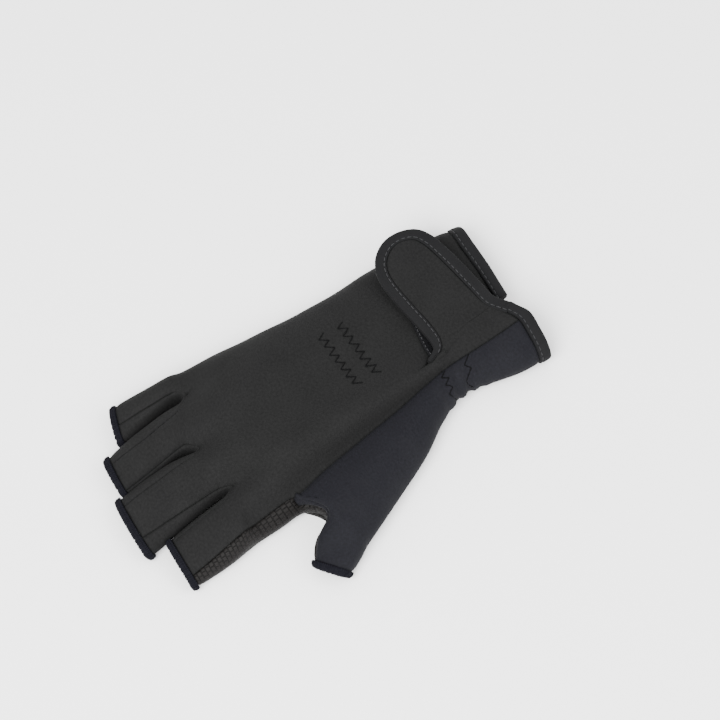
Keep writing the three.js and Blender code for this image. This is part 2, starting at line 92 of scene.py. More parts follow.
# Each row of PLAN gives x and y of these points, in percent of the palm's width and the glove's length.
PLAN_COLUMNS = ("outer", "seam", "slitThumb", "slitLittle", "middleRing", "ringLittle", "side")
PLAN = (
    (-38.6, -53.2, -18.2, -53.6, -5.2, -50.6, -2.6, -52.5, 15.5, -53.3, 30.9, -53.7, 44.6, -54.3),
    (-38.2, -45.6, -19.6, -45.8, -7.6, -43.6, -4.8, -45.2, 13.4, -45.7, 30.9, -46, 47.6, -46.5),
    (-35.3, -39.2, -20.4, -39.7, -9.3, -38.4, -7.4, -39.2, 12.4, -39.4, 30.9, -39.4, 48, -39.4),
    (-33.2, -32.6, -21, -32.6, -17.2, -32.2, -10.8, -32.1, 10.8, -32.6, 30.9, -32.6, 48.4, -32.1),
    (-39.7, -25.2, -23, -25.5, -17.6, -25.5, -17.6, -25.5, 8.2, -25.7, 32, -25.2, 47.2, -25.2),
    (-51, -17.7, -26.2, -17.4, -17, -17, -17, -17, 7.7, -17, 33, -16.5, 46.6, -16.5),
    (-62.3, -7.6, -29.5, -6.9, -17.3, -6, -17.3, -6, 7.7, -5.5, 34, -6, 47.7, -6.4),
    (-69.2, -1.4, -33, 3.2, -17.3, 5, -17.3, 5, 8.2, 5.5, 35.6, 4.1, 49.3, 2.8),
    (-74, 3, -36.6, 12.4, -17.1, 13.8, -17.1, 13.8, 8.8, 14.2, 36.9, 11.5, 50.4, 9.6),
    (-79, 7.6, -39.2, 23.2, -17, 21.9, -17, 21.9, 9.3, 22.8, 37.6, 17.8, 51.2, 15.6),
)
# Each row of HEIGHTS gives the heights of these points, in percent of the palm's height.
HEIGHT_COLUMNS = (
    "navyOuter", "navyInner", "seam", "index", "slitThumb", "slitLittle", "middle",
    "middleRing", "ring", "ringLittle", "shoulder",
)
HEIGHTS = (
    (55.8, 70, 74.2, 76.9, 78.8, 59.6, 60, 60, 59.6, 57.7, 50),
    (55.8, 69.2, 73.1, 78.8, 82.7, 60.8, 62.7, 63.8, 63.5, 60.8, 51.9),
    (53.8, 66.9, 71.5, 80, 84.6, 62.3, 64.6, 65.4, 65.4, 63.5, 53.1),
    (52.3, 64.6, 69.2, 79.2, 86.5, 66.9, 70, 70.4, 70, 66.2, 53.8),
    (55.4, 65.4, 65.4, 86.9, 92.3, 92.3, 79.2, 76.9, 76.9, 71.2, 55.8),
    (58.5, 67.7, 61.5, 92.3, 97.7, 97.7, 80.8, 79.2, 80.8, 75, 57.7),
    (63.1, 70.8, 59.2, 94.2, 100, 100, 86.9, 84.6, 86.9, 78.5, 59.6),
    (66.9, 72.3, 56.9, 90.8, 97.7, 97.7, 92.3, 90, 90.8, 78.5, 60),
    (67.7, 70, 53.8, 86.9, 90.8, 90.8, 92.3, 88.5, 90.8, 74.6, 60),
    (67.7, 70, 48.5, 79.2, 60, 60, 84.6, 60, 83.1, 57.7, 55.4),
)
# Where the palm's edge and the thumb panel's lower edge lie on the underside, in percent of the palm's width.
UNDER = (
    (-11.3, -18), (-12.9, -18.6), (-14.4, -19.1), (-17, -21.6), (-20.6, -26.3),
    (-26.4, -38.1), (-31.6, -50), (-36, -58.2), (-39.4, -63.4), (-41.8, -70),
)
CROTCH_ROW = len(PLAN) - 1
SLIT_END_ROW = 4
# The strap's free edge from the cuff round the tip to the slit's end, with the tape's width in mm.
STRAP_EDGE = (
    (-9.5, -51.4, 6.2), (-7, -50.6, 6.2), (-4.6, -49.8, 6.2), (-1.8, -49, 6.2), (3, -48.6, 6.2),
    (14.9, -48, 6.3), (29.4, -47.2, 6.3), (42, -46, 6.1), (48.5, -44.2, 5.8), (52, -40.6, 5.5),
    (51.4, -36.6, 5.5), (46.2, -33, 5.5), (39, -31, 5.5), (31, -30.3, 5.5), (16, -30.5, 5.5),
    (1.4, -31.1, 5.5), (-7.5, -31.3, 4.8), (-11, -30.9, 3.8), (-13.2, -29.6, 2.8), (-15, -28.2, 2.2),
)


class Digit(Enum):
    """The five open tubes."""

    INDEX = "index"
    MIDDLE = "middle"
    RING = "ring"
    LITTLE = "little"
    THUMB = "thumb"


class Panel(Enum):
    """The cut pieces of the glove's skin, by their nodes' names."""

    BACK = "back_panel"
    PALM = "palm_panel"
    THUMB = "thumb_panel"
    INDEX_MIDDLE = "index_middle_fourchette"
    MIDDLE_RING = "middle_ring_fourchette"
    RING_LITTLE = "ring_little_fourchette"


@dataclass(frozen=True)
class DigitForm:
    """One tube: how far its upper edge overhangs, its side's roundness, its sections and its panels.

    A section gives x and y of the near and the far edge and the height, in percent, and then the
    four corners round the tube in degrees.
    """

    overhang: float
    near_power: float
    stations: tuple[tuple[float, ...], ...]
    panels: tuple[Panel, Panel, Panel, Panel]


DIGITS: dict[Digit, DigitForm] = {
    Digit.INDEX: DigitForm(
        2.6,
        1.25,
        (
            (-46.4, 25.3, -17, 24.5, 71, 129, 46, -38, -142),
            (-47.8, 32.6, -18.7, 32.1, 54, 132, 40, -38, -142),
            (-48.1, 41, -20.7, 39.9, 38, 138, 42, -38, -142),
        ),
        (Panel.BACK, Panel.INDEX_MIDDLE, Panel.PALM, Panel.PALM),
    ),
    Digit.MIDDLE: DigitForm(
        4.4,
        0.85,
        (
            (-16.1, 24.8, 11.9, 25.1, 76, 152, 59, -38, -142),
            (-18.8, 34.2, 13.5, 33.5, 57, 133, 62, -38, -142),
            (-23, 44.9, 11.3, 43.4, 35, 112, 54, -38, -142),
        ),
        (Panel.BACK, Panel.MIDDLE_RING, Panel.PALM, Panel.INDEX_MIDDLE),
    ),
    Digit.RING: DigitForm(
        4.2,
        0.85,
        (
            (13.2, 25.5, 37.3, 20.8, 76, 150, 74, -38, -142),
            (12, 33.2, 36.2, 30.4, 55, 156, 76, -38, -142),
            (10.9, 41.3, 32.8, 40.1, 34, 150, 64, -38, -142),
        ),
        (Panel.BACK, Panel.RING_LITTLE, Panel.PALM, Panel.MIDDLE_RING),
    ),
    Digit.LITTLE: DigitForm(
        4.0,
        0.85,
        (
            (39.2, 20.6, 51.9, 18.4, 65, 128, 0, -62, -142),
            (36.9, 28, 53.7, 25.3, 50, 106, 0, -62, -142),
            (34.8, 35.4, 54.8, 32.1, 34, 94, 0, -62, -142),
        ),
        (Panel.BACK, Panel.BACK, Panel.PALM, Panel.RING_LITTLE),
    ),
    Digit.THUMB: DigitForm(
        5.6,
        0.85,
        (
            (-75.2, 4.8, -54, 10.9, 66, 180, 38, -50, -110),
            (-79.6, 8.1, -61.2, 14.4, 53, 180, 48, -50, -110),
            (-83.8, 12.2, -69.4, 17, 37, 180, 58, -50, -110),
        ),
        (Panel.THUMB, Panel.PALM, Panel.PALM, Panel.THUMB),
    ),
}


def unit(v: Points) -> Points:
    """Vectors of length one along the last axis."""
    return v / np.maximum(np.linalg.norm(v, axis=-1, keepdims=True), 1e-9)


def curve_points(points: Sequence[Points], i: int, ts: Points) -> Points:
    """Points of a smooth curve through a list, between entries i and i + 1.

    Args:
        points: the points that the curve passes through.
        i: the entry that the stretch starts from.
        ts: places along the stretch, from 0 to 1.

    Returns:
        One point for each place.
    """
    p1, p2 = np.asarray(points[i]), np.asarray(points[i + 1])
    p0 = np.asarray(points[i - 1]) if i > 0 else 2 * p1 - p2
    p3 = np.asarray(points[i + 2]) if i + 2 < len(points) else 2 * p2 - p1
    knots = [0.0]
    for a, b in ((p0, p1), (p1, p2), (p2, p3)):
        knots.append(knots[-1] + math.sqrt(max(float(np.linalg.norm(b - a)), 1e-6)))
    at = (knots[1] + np.asarray(ts) * (knots[2] - knots[1]))[:, None]

    def mix(a: Points, b: Points, ka: float, kb: float) -> Points:
        """Straight blend of two points between two knots."""
        return a + (b - a) * (at - ka) / (kb - ka)

    a1 = mix(p0, p1, knots[0], knots[1])
    a2 = mix(p1, p2, knots[1], knots[2])
    a3 = mix(p2, p3, knots[2], knots[3])
    return mix(mix(a1, a2, knots[0], knots[2]), mix(a2, a3, knots[1], knots[3]), knots[1], knots[2])


def crowd(cells: int, start: bool, end: bool, share: float = 0.75) -> Points:
    """Places from 0 to 1 that crowd towards the ends that are seams."""
    t = np.linspace(0, 1, cells + 1)
    if start and end:
        eased = 0.5 - 0.5 * np.cos(math.pi * t)
    elif start:
        eased = 1 - np.cos(0.5 * math.pi * t)
    elif end:
        eased = np.sin(0.5 * math.pi * t)
    else:
        eased = t
    return t + share * (eased - t)


def plan_point(x: float, y: float, z: float = 0.0) -> Points:
    """A point from shares of the palm's width and the glove's length."""
    return np.array([x * SIZE.palm_width / 100, y * SIZE.length / 100, z])


def lerp(a: Points, b: Points, t: float) -> Points:
    """Straight blend of two points."""
    return a + (b - a) * t


def joined(lists: Iterable[Points]) -> Points:
    """Stretches laid end to end without repeating the points that they share."""
    made: list[Points] = []
    for k, points in enumerate(lists):
        made.append(points[1:] if k else points)
    return np.concatenate(made)


class GloveForm:
    """The glove's outer form: rows across the hand and loops round the digits."""

    AROUND = (
        "middleTop", "ringTop", "littleTop", "littleSide", "littlePalm", "ringPalm", "middlePalm",
        "indexPalm", "thumbPalm", "navyUnder", "navyTop", "indexTop",
    )
    TOP_CELLS = 10
    PALM_CELLS = 14

    def __init__(self) -> None:
        """Works out the named points of each row of the tables."""
        rows = [self._control_row(k) for k in range(len(PLAN))]
        self.columns = {name: [row[name] for row in rows] for name in rows[0]}
        self.cuff_band = SIZE.binding_width / ((PLAN[1][1] - PLAN[0][1]) * SIZE.length / 100)

    @staticmethod
    def _control_row(k: int) -> dict[str, Points]:
        """The named points of row k of the tables."""
        at = {name: plan_point(PLAN[k][2 * i], PLAN[k][2 * i + 1]) for i, name in enumerate(PLAN_COLUMNS)}
        at["navyOuter"] = lerp(at["outer"], at["seam"], 0.2)
        at["navyInner"] = lerp(at["outer"], at["seam"], 0.6)
        at["index"] = lerp(at["seam"], at["slitThumb"], 0.5)
        at["middle"] = lerp(at["slitLittle"], at["middleRing"], 0.5)
        at["ring"] = lerp(at["middleRing"], at["ringLittle"], 0.5)
        at["shoulder"] = lerp(at["ringLittle"], at["side"], 0.72)
        for name, share in zip(HEIGHT_COLUMNS, HEIGHTS[k]):
            at[name][2] = share * SIZE.palm_height / 100
        at["outer"][2] = 0.5 * at["navyOuter"][2]
        at["side"][2] = 0.55 * at["shoulder"][2]
        line = [at[name] for name in ("outer", "seam", "slitLittle", "middleRing", "ringLittle", "side")]

        def under(x: float, z: float = 0.0) -> Points:
            """The point of the underside at x."""
            i = 0
            while i < len(line) - 2 and x > line[i + 1][0]:
                i += 1
            share = (x - line[i][0]) / (line[i + 1][0] - line[i][0])
            return np.array([x, line[i][1] + share * (line[i + 1][1] - line[i][1]), z])

        at["sideLow"] = under(at["side"][0] - SIZE.side_inset, SIZE.side_rise)
        at["wrap"] = under(at["side"][0] - SIZE.back_wrap)
        at["ringLittleLow"] = under(at["ringLittle"][0])
        at["middleRingLow"] = under(at["middleRing"][0])
        at["indexMiddleLow"] = under(at["slitLittle"][0])
        at["turn"] = under(UNDER[k][0] * SIZE.palm_width / 100)
        at["navyLow"] = under(UNDER[k][1] * SIZE.palm_width / 100)
        at["outerLow"] = under(at["outer"][0] + SIZE.side_inset, SIZE.side_rise)
        seam, turn = at["seam"], at["turn"]
        at["indexSideLow"] = np.array([turn[0] - 2.8, turn[1], 0.27 * seam[2]])
        side_y = turn[1] + 0.6 * (seam[1] - turn[1])
        at["indexSide"] = np.array([min(turn[0], seam[0]) - 2.4, side_y, 0.67 * seam[2]])
        return at

    def controls_at(self, row: float) -> dict[str, Points]:
        """The named points at a row number that may lie between two rows."""
        k = min(int(row), CROTCH_ROW - 1)
        share = np.array([row - k])
        at = {name: curve_points(column, k, share)[0] for name, column in self.columns.items()}
        for p in at.values():
            p[2] = max(0.0, p[2])
        return at

    def hand_row(self, row: float) -> dict[str, Points]:
        """The stretches of one row of the hand, clockwise as seen from the cuff.

        Args:
            row: the row number, 0 at the cuff and 9 at the finger crotches.

        Returns:
            The points of each named stretch.
        """
        at = self.controls_at(row)
        slit = row < SLIT_END_ROW
        names_round = (
            "navyLow", "outerLow", "outer", "navyOuter", "navyInner", "seam", "index", "slitThumb",
        )
        names_across = (
            "slitLittle", "middle", "middleRing", "ring", "ringLittle", "shoulder", "side", "sideLow",
            "wrap", "ringLittleLow",
        )
        around = [at[n] for n in names_round]
        across = [at[n] for n in names_across]
        whole = around + across[1:]
        first, second = (around, across) if slit else (whole, whole)
        shift = 0 if slit else len(around) - 1

        def stretch(points: list[Points], spans: Sequence[tuple[int, Points]]) -> Points:
            """Points along several spans, each with its own places."""
            made = joined(curve_points(points, i, ts) for i, ts in spans)
            made[:, 2] = np.maximum(made[:, 2], 0)
            return made

        def straight(a: Points, b: Points, ts: Points) -> Points:
            """Points on a straight line."""
            return a + (b - a) * ts[:, None]

        opening, closing = crowd(self.TOP_CELLS, True, False), crowd(self.TOP_CELLS, False, True)
        palm = crowd(self.PALM_CELLS, True, True)

        def even(cells: int, ends_in_seam: bool = False) -> Points:
            """Places for a stretch that starts away from a seam."""
            return crowd(cells, False, ends_in_seam)

        side = [at[n] for n in ("turn", "indexSideLow", "indexSide", "seam")]
        return {
            "navyUnder": stretch(first, [(0, crowd(8, True, False)), (1, even(6))]),
            "navyTop": stretch(first, [(2, even(6)), (3, even(8)), (4, even(6, True))]),
            "indexTop": stretch(first, [(5, opening), (6, closing)]),
            "middleTop": stretch(second, [(shift, opening), (shift + 1, closing)]),
            "ringTop": stretch(second, [(shift + 2, opening), (shift + 3, closing)]),
            "littleTop": stretch(second, [(shift + 4, opening), (shift + 5, even(self.TOP_CELLS))]),
            "littleSide": stretch(second, [(shift + 6, even(7)), (shift + 7, even(7, True))]),
            "littlePalm": straight(at["wrap"], at["ringLittleLow"], crowd(8, True, True)),
            "ringPalm": straight(at["ringLittleLow"], at["middleRingLow"], palm),
            "middlePalm": straight(at["middleRingLow"], at["indexMiddleLow"], palm),
            "indexPalm": straight(at["indexMiddleLow"], at["turn"], palm),
            "thumbPalm": straight(at["turn"], at["navyLow"], crowd(10, True, True)),
            "indexSide": stretch(side, [(0, even(4)), (1, even(5)), (2, even(5, True))]),
        }

    def web(self, top: Points, low: Points) -> Points:
        """The web of a crotch, from its upper point down to the palm."""
        marks = [top]
        for share in (0.66, 0.3):
            marks.append(np.array([top[0], low[1] + share * (top[1] - low[1]) + 1.5, share * top[2]]))
        marks.append(low)
        spans = [(0, crowd(5, True, False)), (1, crowd(4, False, False)), (2, crowd(5, False, True))]
        return joined(curve_points(marks, i, ts) for i, ts in spans)

    def digit_loop(self, digit: Digit, places: Sequence[Points], t: float) -> list[Points]:
        """One loop round a digit, as its four stretches clockwise from the near upper seam.

        Args:
            digit: which tube.
            places: the places along each stretch, from 0 to 1.
            t: 0 at the crotch's first full section, 1 at the open end.

        Returns:
            The points of the four stretches.
        """
        form = DIGITS[digit]
        stations = form.stations
        i = min(int(t * 2), 1)
        local = t * 2 - i

        def blend(column: int) -> float:
            """One column of the stations at t."""
            marks = [np.array([n * 10.0, s[column], 0.0]) for n, s in enumerate(stations)]
            return float(curve_points(marks, i, np.array([local]))[0][1])

        near, far = plan_point(blend(0), blend(1)), plan_point(blend(2), blend(3))
        height = blend(4) * SIZE.palm_height / 100
        corners = [stations[i][c] + (stations[i + 1][c] - stations[i][c]) * local for c in (5, 6, 7, 8)]
        corners.append(corners[0] - 360)
        centre, half = (near + far) / 2, (far - near) / 2
        forward = unit(np.array([-half[1], half[0], 0.0]))
        middle = 0.45 * height
        made = []
        for side, ts in enumerate(places):
            angle = np.radians(corners[side] + (corners[side + 1] - corners[side]) * ts)
            cos, sin = np.cos(angle), np.sin(angle)
            exponent = np.where((cos < 0) & (sin > 0), form.near_power, 0.85)
            u = np.sign(cos) * np.abs(cos) ** exponent
            v = np.sign(sin) * np.abs(sin) ** exponent
            z = np.where(v > 0, middle + v * (height - middle), np.maximum(0, middle * (1 + 1.25 * v)))
            lean = form.overhang * t * (z / height - 0.5)
            points = centre + half * u[:, None] + forward * lean[:, None]
            points[:, 2] = z
            made.append(points)
        return made

    def digit_length(self, digit: Digit) -> float:
        """Length of a tube from its first section to its open end."""
        marks = [plan_point(s[0] + s[2], s[1] + s[3]) / 2 for s in DIGITS[digit].stations]
        return float(np.linalg.norm(marks[-1] - marks[0]))


def bridge(before: Points, start: Points, first: Points, after: Points, steps: int) -> list[Points]:
    """Rows that lead smoothly from a hand row to a tube's first loop, both left out."""
    rows = []
    ts = np.linspace(0, 1, steps + 1)[1:-1]
    columns = [curve_points([before[c], start[c], first[c], after[c]], 1, ts) for c in range(len(start))]
    for k in range(len(ts)):
        row = np.array([column[k] for column in columns])
        row[:, 2] = np.maximum(row[:, 2], 0)
        rows.append(row)
    return rows


class Skin:
    """The whole outer skin as four-sided faces over shared points, each face tagged with its panel."""

    def __init__(self) -> None:
        """Starts with nothing."""
        self.points: list[Points] = []
        self.keys: dict[tuple[int, ...], int] = {}
        self.faces: dict[Panel, list[tuple[int, ...]]] = {panel: [] for panel in Panel}
        self.corner_uv: dict[Panel, list[tuple[tuple[float, float], ...]]] = {panel: [] for panel in Panel}

    def _index(self, p: Points) -> int:
        """The number of a point, made if it is new."""
        key = tuple(int(round(v * 1000)) for v in p)
        if key not in self.keys:
            self.keys[key] = len(self.points)
            self.points.append(np.array(p))
        return self.keys[key]

    def add_grid(self, panel: Panel, rows: Sequence[Points], around: Sequence[Points],
                 along: Sequence[float]) -> None:
        """Adds a grid of faces.

        Args:
            panel: the panel that the grid belongs to.
            rows: the grid's points, cuff end first, each row clockwise.
            around: the cloth's measure across each row, in mm.
            along: the cloth's measure up to each row, in mm.
        """
        numbers = [[self._index(p) for p in row] for row in rows]
        for r in range(len(rows) - 1):
            for c in range(len(rows[r]) - 1):
                corners = ((r, c), (r, c + 1), (r + 1, c + 1), (r + 1, c))
                face, uv = [], []
                for a, b in corners:
                    if numbers[a][b] not in face:
                        face.append(numbers[a][b])
                        uv.append((float(around[a][b]), float(along[a])))
                if len(face) >= 3:
                    self.faces[panel].append(tuple(face))
                    self.corner_uv[panel].append(tuple(uv))

    def normals(self) -> Points:
        """Outward normals at the shared points."""
        points = np.array(self.points)
        sums = np.zeros_like(points)
        for faces in self.faces.values():
            for face in faces:
                a, b, c, d = face[0], face[1], face[2], face[-1]
                n = np.cross(points[c] - points[a], points[d] - points[b])
                for k in face:
                    sums[k] += n
        return unit(sums)

    def borders(self, panel: Panel) -> list[tuple[int, int]]:
        """The directed edges at the rim of a panel."""
        edges: set[tuple[int, int]] = set()
        for face in self.faces[panel]:
            for a, b in zip(face, face[1:] + face[:1]):
                if (b, a) in edges:
                    edges.discard((b, a))
                else:
                    edges.add((a, b))
        return sorted(edges)


def point_at(path: Points, total: Points, place: float) -> Points:
    """The point of a path at a measure along it."""
    return np.array([np.interp(place, total, path[:, k]) for k in range(3)])


def resampled(path: Points, cells: int) -> Points:
    """A path as a given number of equal steps."""
    total = row_measure(path, 0, 0.0)
    return np.array([point_at(path, total, place) for place in np.linspace(0, total[-1], cells + 1)])


def row_measure(row: Points, anchor: int, value: float) -> Points:
    """Measures along a row of points so that the anchor has the given value."""
    steps = np.linalg.norm(np.diff(row, axis=0), axis=1)
    total = np.concatenate([[0.0], np.cumsum(steps)])
    return total - total[anchor] + value


class SkinBuilder:
    """Lays the hand's rows and the digits' loops into one skin."""

    OWNER = {
        "navyUnder": Panel.THUMB, "navyTop": Panel.THUMB, "indexTop": Panel.BACK,
        "middleTop": Panel.BACK, "ringTop": Panel.BACK, "littleTop": Panel.BACK,
        "littleSide": Panel.BACK,
    }
    THUMB_SIDE_CUT = 5
    BRIDGE_STEPS = 8
    THUMB_BRIDGE_STEPS = 14
    TUBE_PLACES = {
        Digit.INDEX: ((20, True, True), (14, True, True), (14, True, True), (14, True, True)),
        Digit.MIDDLE: ((20, True, True), (14, True, True), (14, True, True), (14, True, True)),
        Digit.RING: ((20, True, True), (14, True, True), (14, True, True), (14, True, True)),
        Digit.LITTLE: ((20, True, False), (14, False, True), (8, True, True), (14, True, True)),
        Digit.THUMB: ((20, False, True), (14, True, True), (10, True, True), (14, True, False)),
    }

    def __init__(self, form: GloveForm) -> None:
        """Keeps the form that it samples."""
        self.form = form
        self.skin = Skin()

    def _places(self, digit: Digit) -> list[Points]:
        """Places along the four stretches of a tube's loop."""
        return [crowd(*spec) for spec in self.TUBE_PLACES[digit]]

    def build(self) -> Skin:
        """Samples everything and returns the skin."""
        below = np.concatenate([
            self.form.cuff_band + (4 - self.form.cuff_band) * crowd(40, True, False, 0.5),
            np.linspace(4, 8, 45)[1:],
        ])
        above = np.linspace(8, 9, 14)
        rows_below = [self.form.hand_row(r) for r in below]
        rows_above = [self.form.hand_row(r) for r in above]
        self._lay_hand(rows_below, GloveForm.AROUND)
        upper = [n for n in GloveForm.AROUND if n not in ("thumbPalm", "navyUnder", "navyTop")]
        self._lay_hand(rows_above, [*upper, "indexSide"])
        self._lay_digits(rows_above, rows_below)
        return self.skin

    def _lay_hand(self, rows: list[HandRow], names: Sequence[str]) -> None:
        """Adds the named stretches of the hand's rows."""
        measures: dict[str, list[Points]] = {name: [] for name in names}
        for row in rows:
            self._measure_row(row, names, measures)
        along = [float(row["middleTop"][-1][1]) for row in rows]
        for name in names:
            panel = self.OWNER.get(name, Panel.PALM)
            self.skin.add_grid(panel, [row[name] for row in rows], measures[name], along)

    @staticmethod
    def _measure_row(row: HandRow, names: Sequence[str], measures: dict[str, list[Points]]) -> None:
        """Measures a row both ways from the line between the middle and the ring finger."""
        middle_x = float(row["middleTop"][-1][0])
        made: dict[str, Points] = {}
        made["middleTop"] = row_measure(row["middleTop"], -1, middle_x)
        last = middle_x
        for name in ("ringTop", "littleTop", "littleSide"):
            made[name] = row_measure(row[name], 0, last)
            last = float(made[name][-1])
        first = float(made["middleTop"][0])
        for name in ("indexTop", "navyTop", "navyUnder"):
            made[name] = row_measure(row[name], -1, first)
            first = float(made[name][0])
        made["middlePalm"] = row_measure(row["middlePalm"], 0, -middle_x)
        last = float(made["middlePalm"][-1])
        for name in ("indexPalm", "thumbPalm"):
            made[name] = row_measure(row[name], 0, last)
            last = float(made[name][-1])
        made["indexSide"] = row_measure(row["indexSide"], 0, float(made["indexPalm"][-1]))
        first = -middle_x
        for name in ("ringPalm", "littlePalm"):
            made[name] = row_measure(row[name], -1, first)
            first = float(made[name][0])
        for name in names:
            measures[name].append(made[name])

    def _lay_digits(self, above: list[HandRow], below: list[HandRow]) -> None:
        """Adds the five tubes from their crotches to their open ends."""
        web = self.form.web
        crotch, before = above[-1], above[-3]
        thumb, thumb_before = above[0], below[-3]
        webs = {
            "indexMiddle": web(crotch["indexTop"][-1], crotch["middlePalm"][-1]),
            "middleRing": web(crotch["middleTop"][-1], crotch["ringPalm"][-1]),
            "ringLittle": web(crotch["ringTop"][-1], crotch["littlePalm"][-1]),
        }
        push = np.array([0.0, -2.0, 0.0])
        starts = {
            Digit.INDEX: ("indexTop", webs["indexMiddle"], "indexPalm", "indexSide"),
            Digit.MIDDLE: ("middleTop", webs["middleRing"], "middlePalm", webs["indexMiddle"][::-1]),
            Digit.RING: ("ringTop", webs["ringLittle"], "ringPalm", webs["middleRing"][::-1]),
            Digit.LITTLE: ("littleTop", "littleSide", "littlePalm", webs["ringLittle"][::-1]),
            Digit.THUMB: ("navyTop", thumb["indexSide"][::-1], "thumbPalm", "navyUnder"),
        }
        for digit, sides in starts.items():
            base, prior = (thumb, thumb_before) if digit is Digit.THUMB else (crotch, before)
            places = self._places(digit)
            end = 1 - SIZE.hem_width / self.form.digit_length(digit)
            ts = end * crowd(30, False, True, 0.5)
            loops = [self.form.digit_loop(digit, places, float(t)) for t in ts]
            side_rows: list[list[Points]] = []
            for side, source in enumerate(sides):
                if isinstance(source, str):
                    start, back = base[source], prior[source]
                else:
                    start, back = source, source + push
                steps = self.THUMB_BRIDGE_STEPS if digit is Digit.THUMB else self.BRIDGE_STEPS
                lead = bridge(back, start, loops[0][side], loops[1][side], steps)
                side_rows.append([start, *lead, *[loop[side] for loop in loops]])
            self._lay_tube(digit, side_rows)

    def _lay_tube(self, digit: Digit, side_rows: list[list[Points]]) -> None:
        """Adds the four stretches of one tube, measured as cloth."""
        panels = DIGITS[digit].panels
        count = len(side_rows[0])
        middle = len(side_rows[0][0]) // 2
        tops, sides, lows, nears = [], [], [], []
        along = [0.0]
        for k in range(count):
            top = row_measure(side_rows[0][k], middle, float(side_rows[0][k][middle][0]))
            side = row_measure(side_rows[1][k], 0, float(top[-1]))
            half = len(side_rows[2][k]) // 2
            low = row_measure(side_rows[2][k], half, -float(side_rows[2][k][half][0]))
            if panels[3] is Panel.PALM:
                near = row_measure(side_rows[3][k], 0, float(low[-1]))
            else:
                near = row_measure(side_rows[3][k], -1, float(top[0]))
            if panels[1] is Panel.PALM:
                side = row_measure(side_rows[1][k], -1, float(low[0]))
            tops.append(top)
            sides.append(side)
            lows.append(low)
            nears.append(near)
            if k:
                step = side_rows[0][k][middle] - side_rows[0][k - 1][middle]
                along.append(along[-1] + float(np.linalg.norm(step)))
        start_y = float(side_rows[0][0][middle][1])
        along = [start_y + a for a in along]
        for side, measured in enumerate((tops, sides, lows, nears)):
            rows = side_rows[side]
            if digit is Digit.THUMB and side == 1:
                cut = self.THUMB_SIDE_CUT
                for panel, part in ((Panel.THUMB, slice(0, cut + 1)), (panels[side], slice(cut, None))):
                    self.skin.add_grid(panel, [r[part] for r in rows], [m[part] for m in measured], along)
            else:
                self.skin.add_grid(panels[side], rows, measured, along)


def srgb(value: str) -> tuple[float, float, float, float]:
    """A six-digit sRGB hex colour as linear RGBA."""
    parts = [int(value[i : i + 2], 16) / 255 for i in (0, 2, 4)]
    r, g, b = (c / 12.92 if c <= 0.04045 else ((c + 0.055) / 1.055) ** 2.4 for c in parts)
    return (r, g, b, 1.0)


def node(tree: bpy.types.NodeTree, kind: str, settings: dict | None = None,
         links: dict | None = None) -> bpy.types.Node:
    """Adds one node.

    Args:
        tree: the tree that gets the node.
        kind: the node's type name.
        settings: properties by name, or input values by socket index or name.
        links: output sockets by the input that they go into.

    Returns:
        The new node.
    """
    made = tree.nodes.new(kind)
    for key, value in (settings or {}).items():
        if isinstance(key, int) or key in made.inputs:
            made.inputs[key].default_value = value
        else:
            setattr(made, key, value)
    for key, source in (links or {}).items():
        tree.links.new(source, made.inputs[key])
    return made


def make_object(name: str, points: Points, faces: Sequence[Sequence[int]], uv: Measures,
                material: bpy.types.Material) -> bpy.types.Object:
    """Makes a smooth mesh object from points in mm.

    Args:
        name: the object's name.
        points: its vertices in mm.
        faces: vertex numbers of each face.
        uv: the cloth's measure at each face corner, in mm.
        material: what it is made of.

    Returns:
        The new object, linked to the scene.
    """
    mesh = bpy.data.meshes.new(name)
    mesh.from_pydata((np.asarray(points) * MM).tolist(), [], [tuple(f) for f in faces])
    mesh.materials.append(material)
    mesh.polygons.foreach_set("use_smooth", [True] * len(mesh.polygons))
    layer = mesh.uv_layers.new(name="cloth")
    layer.data.foreach_set("uv", [c for face in uv for corner in face for c in corner])
    mesh.update()
    made = bpy.data.objects.new(name, mesh)
    bpy.context.scene.collection.objects.link(made)
    return made


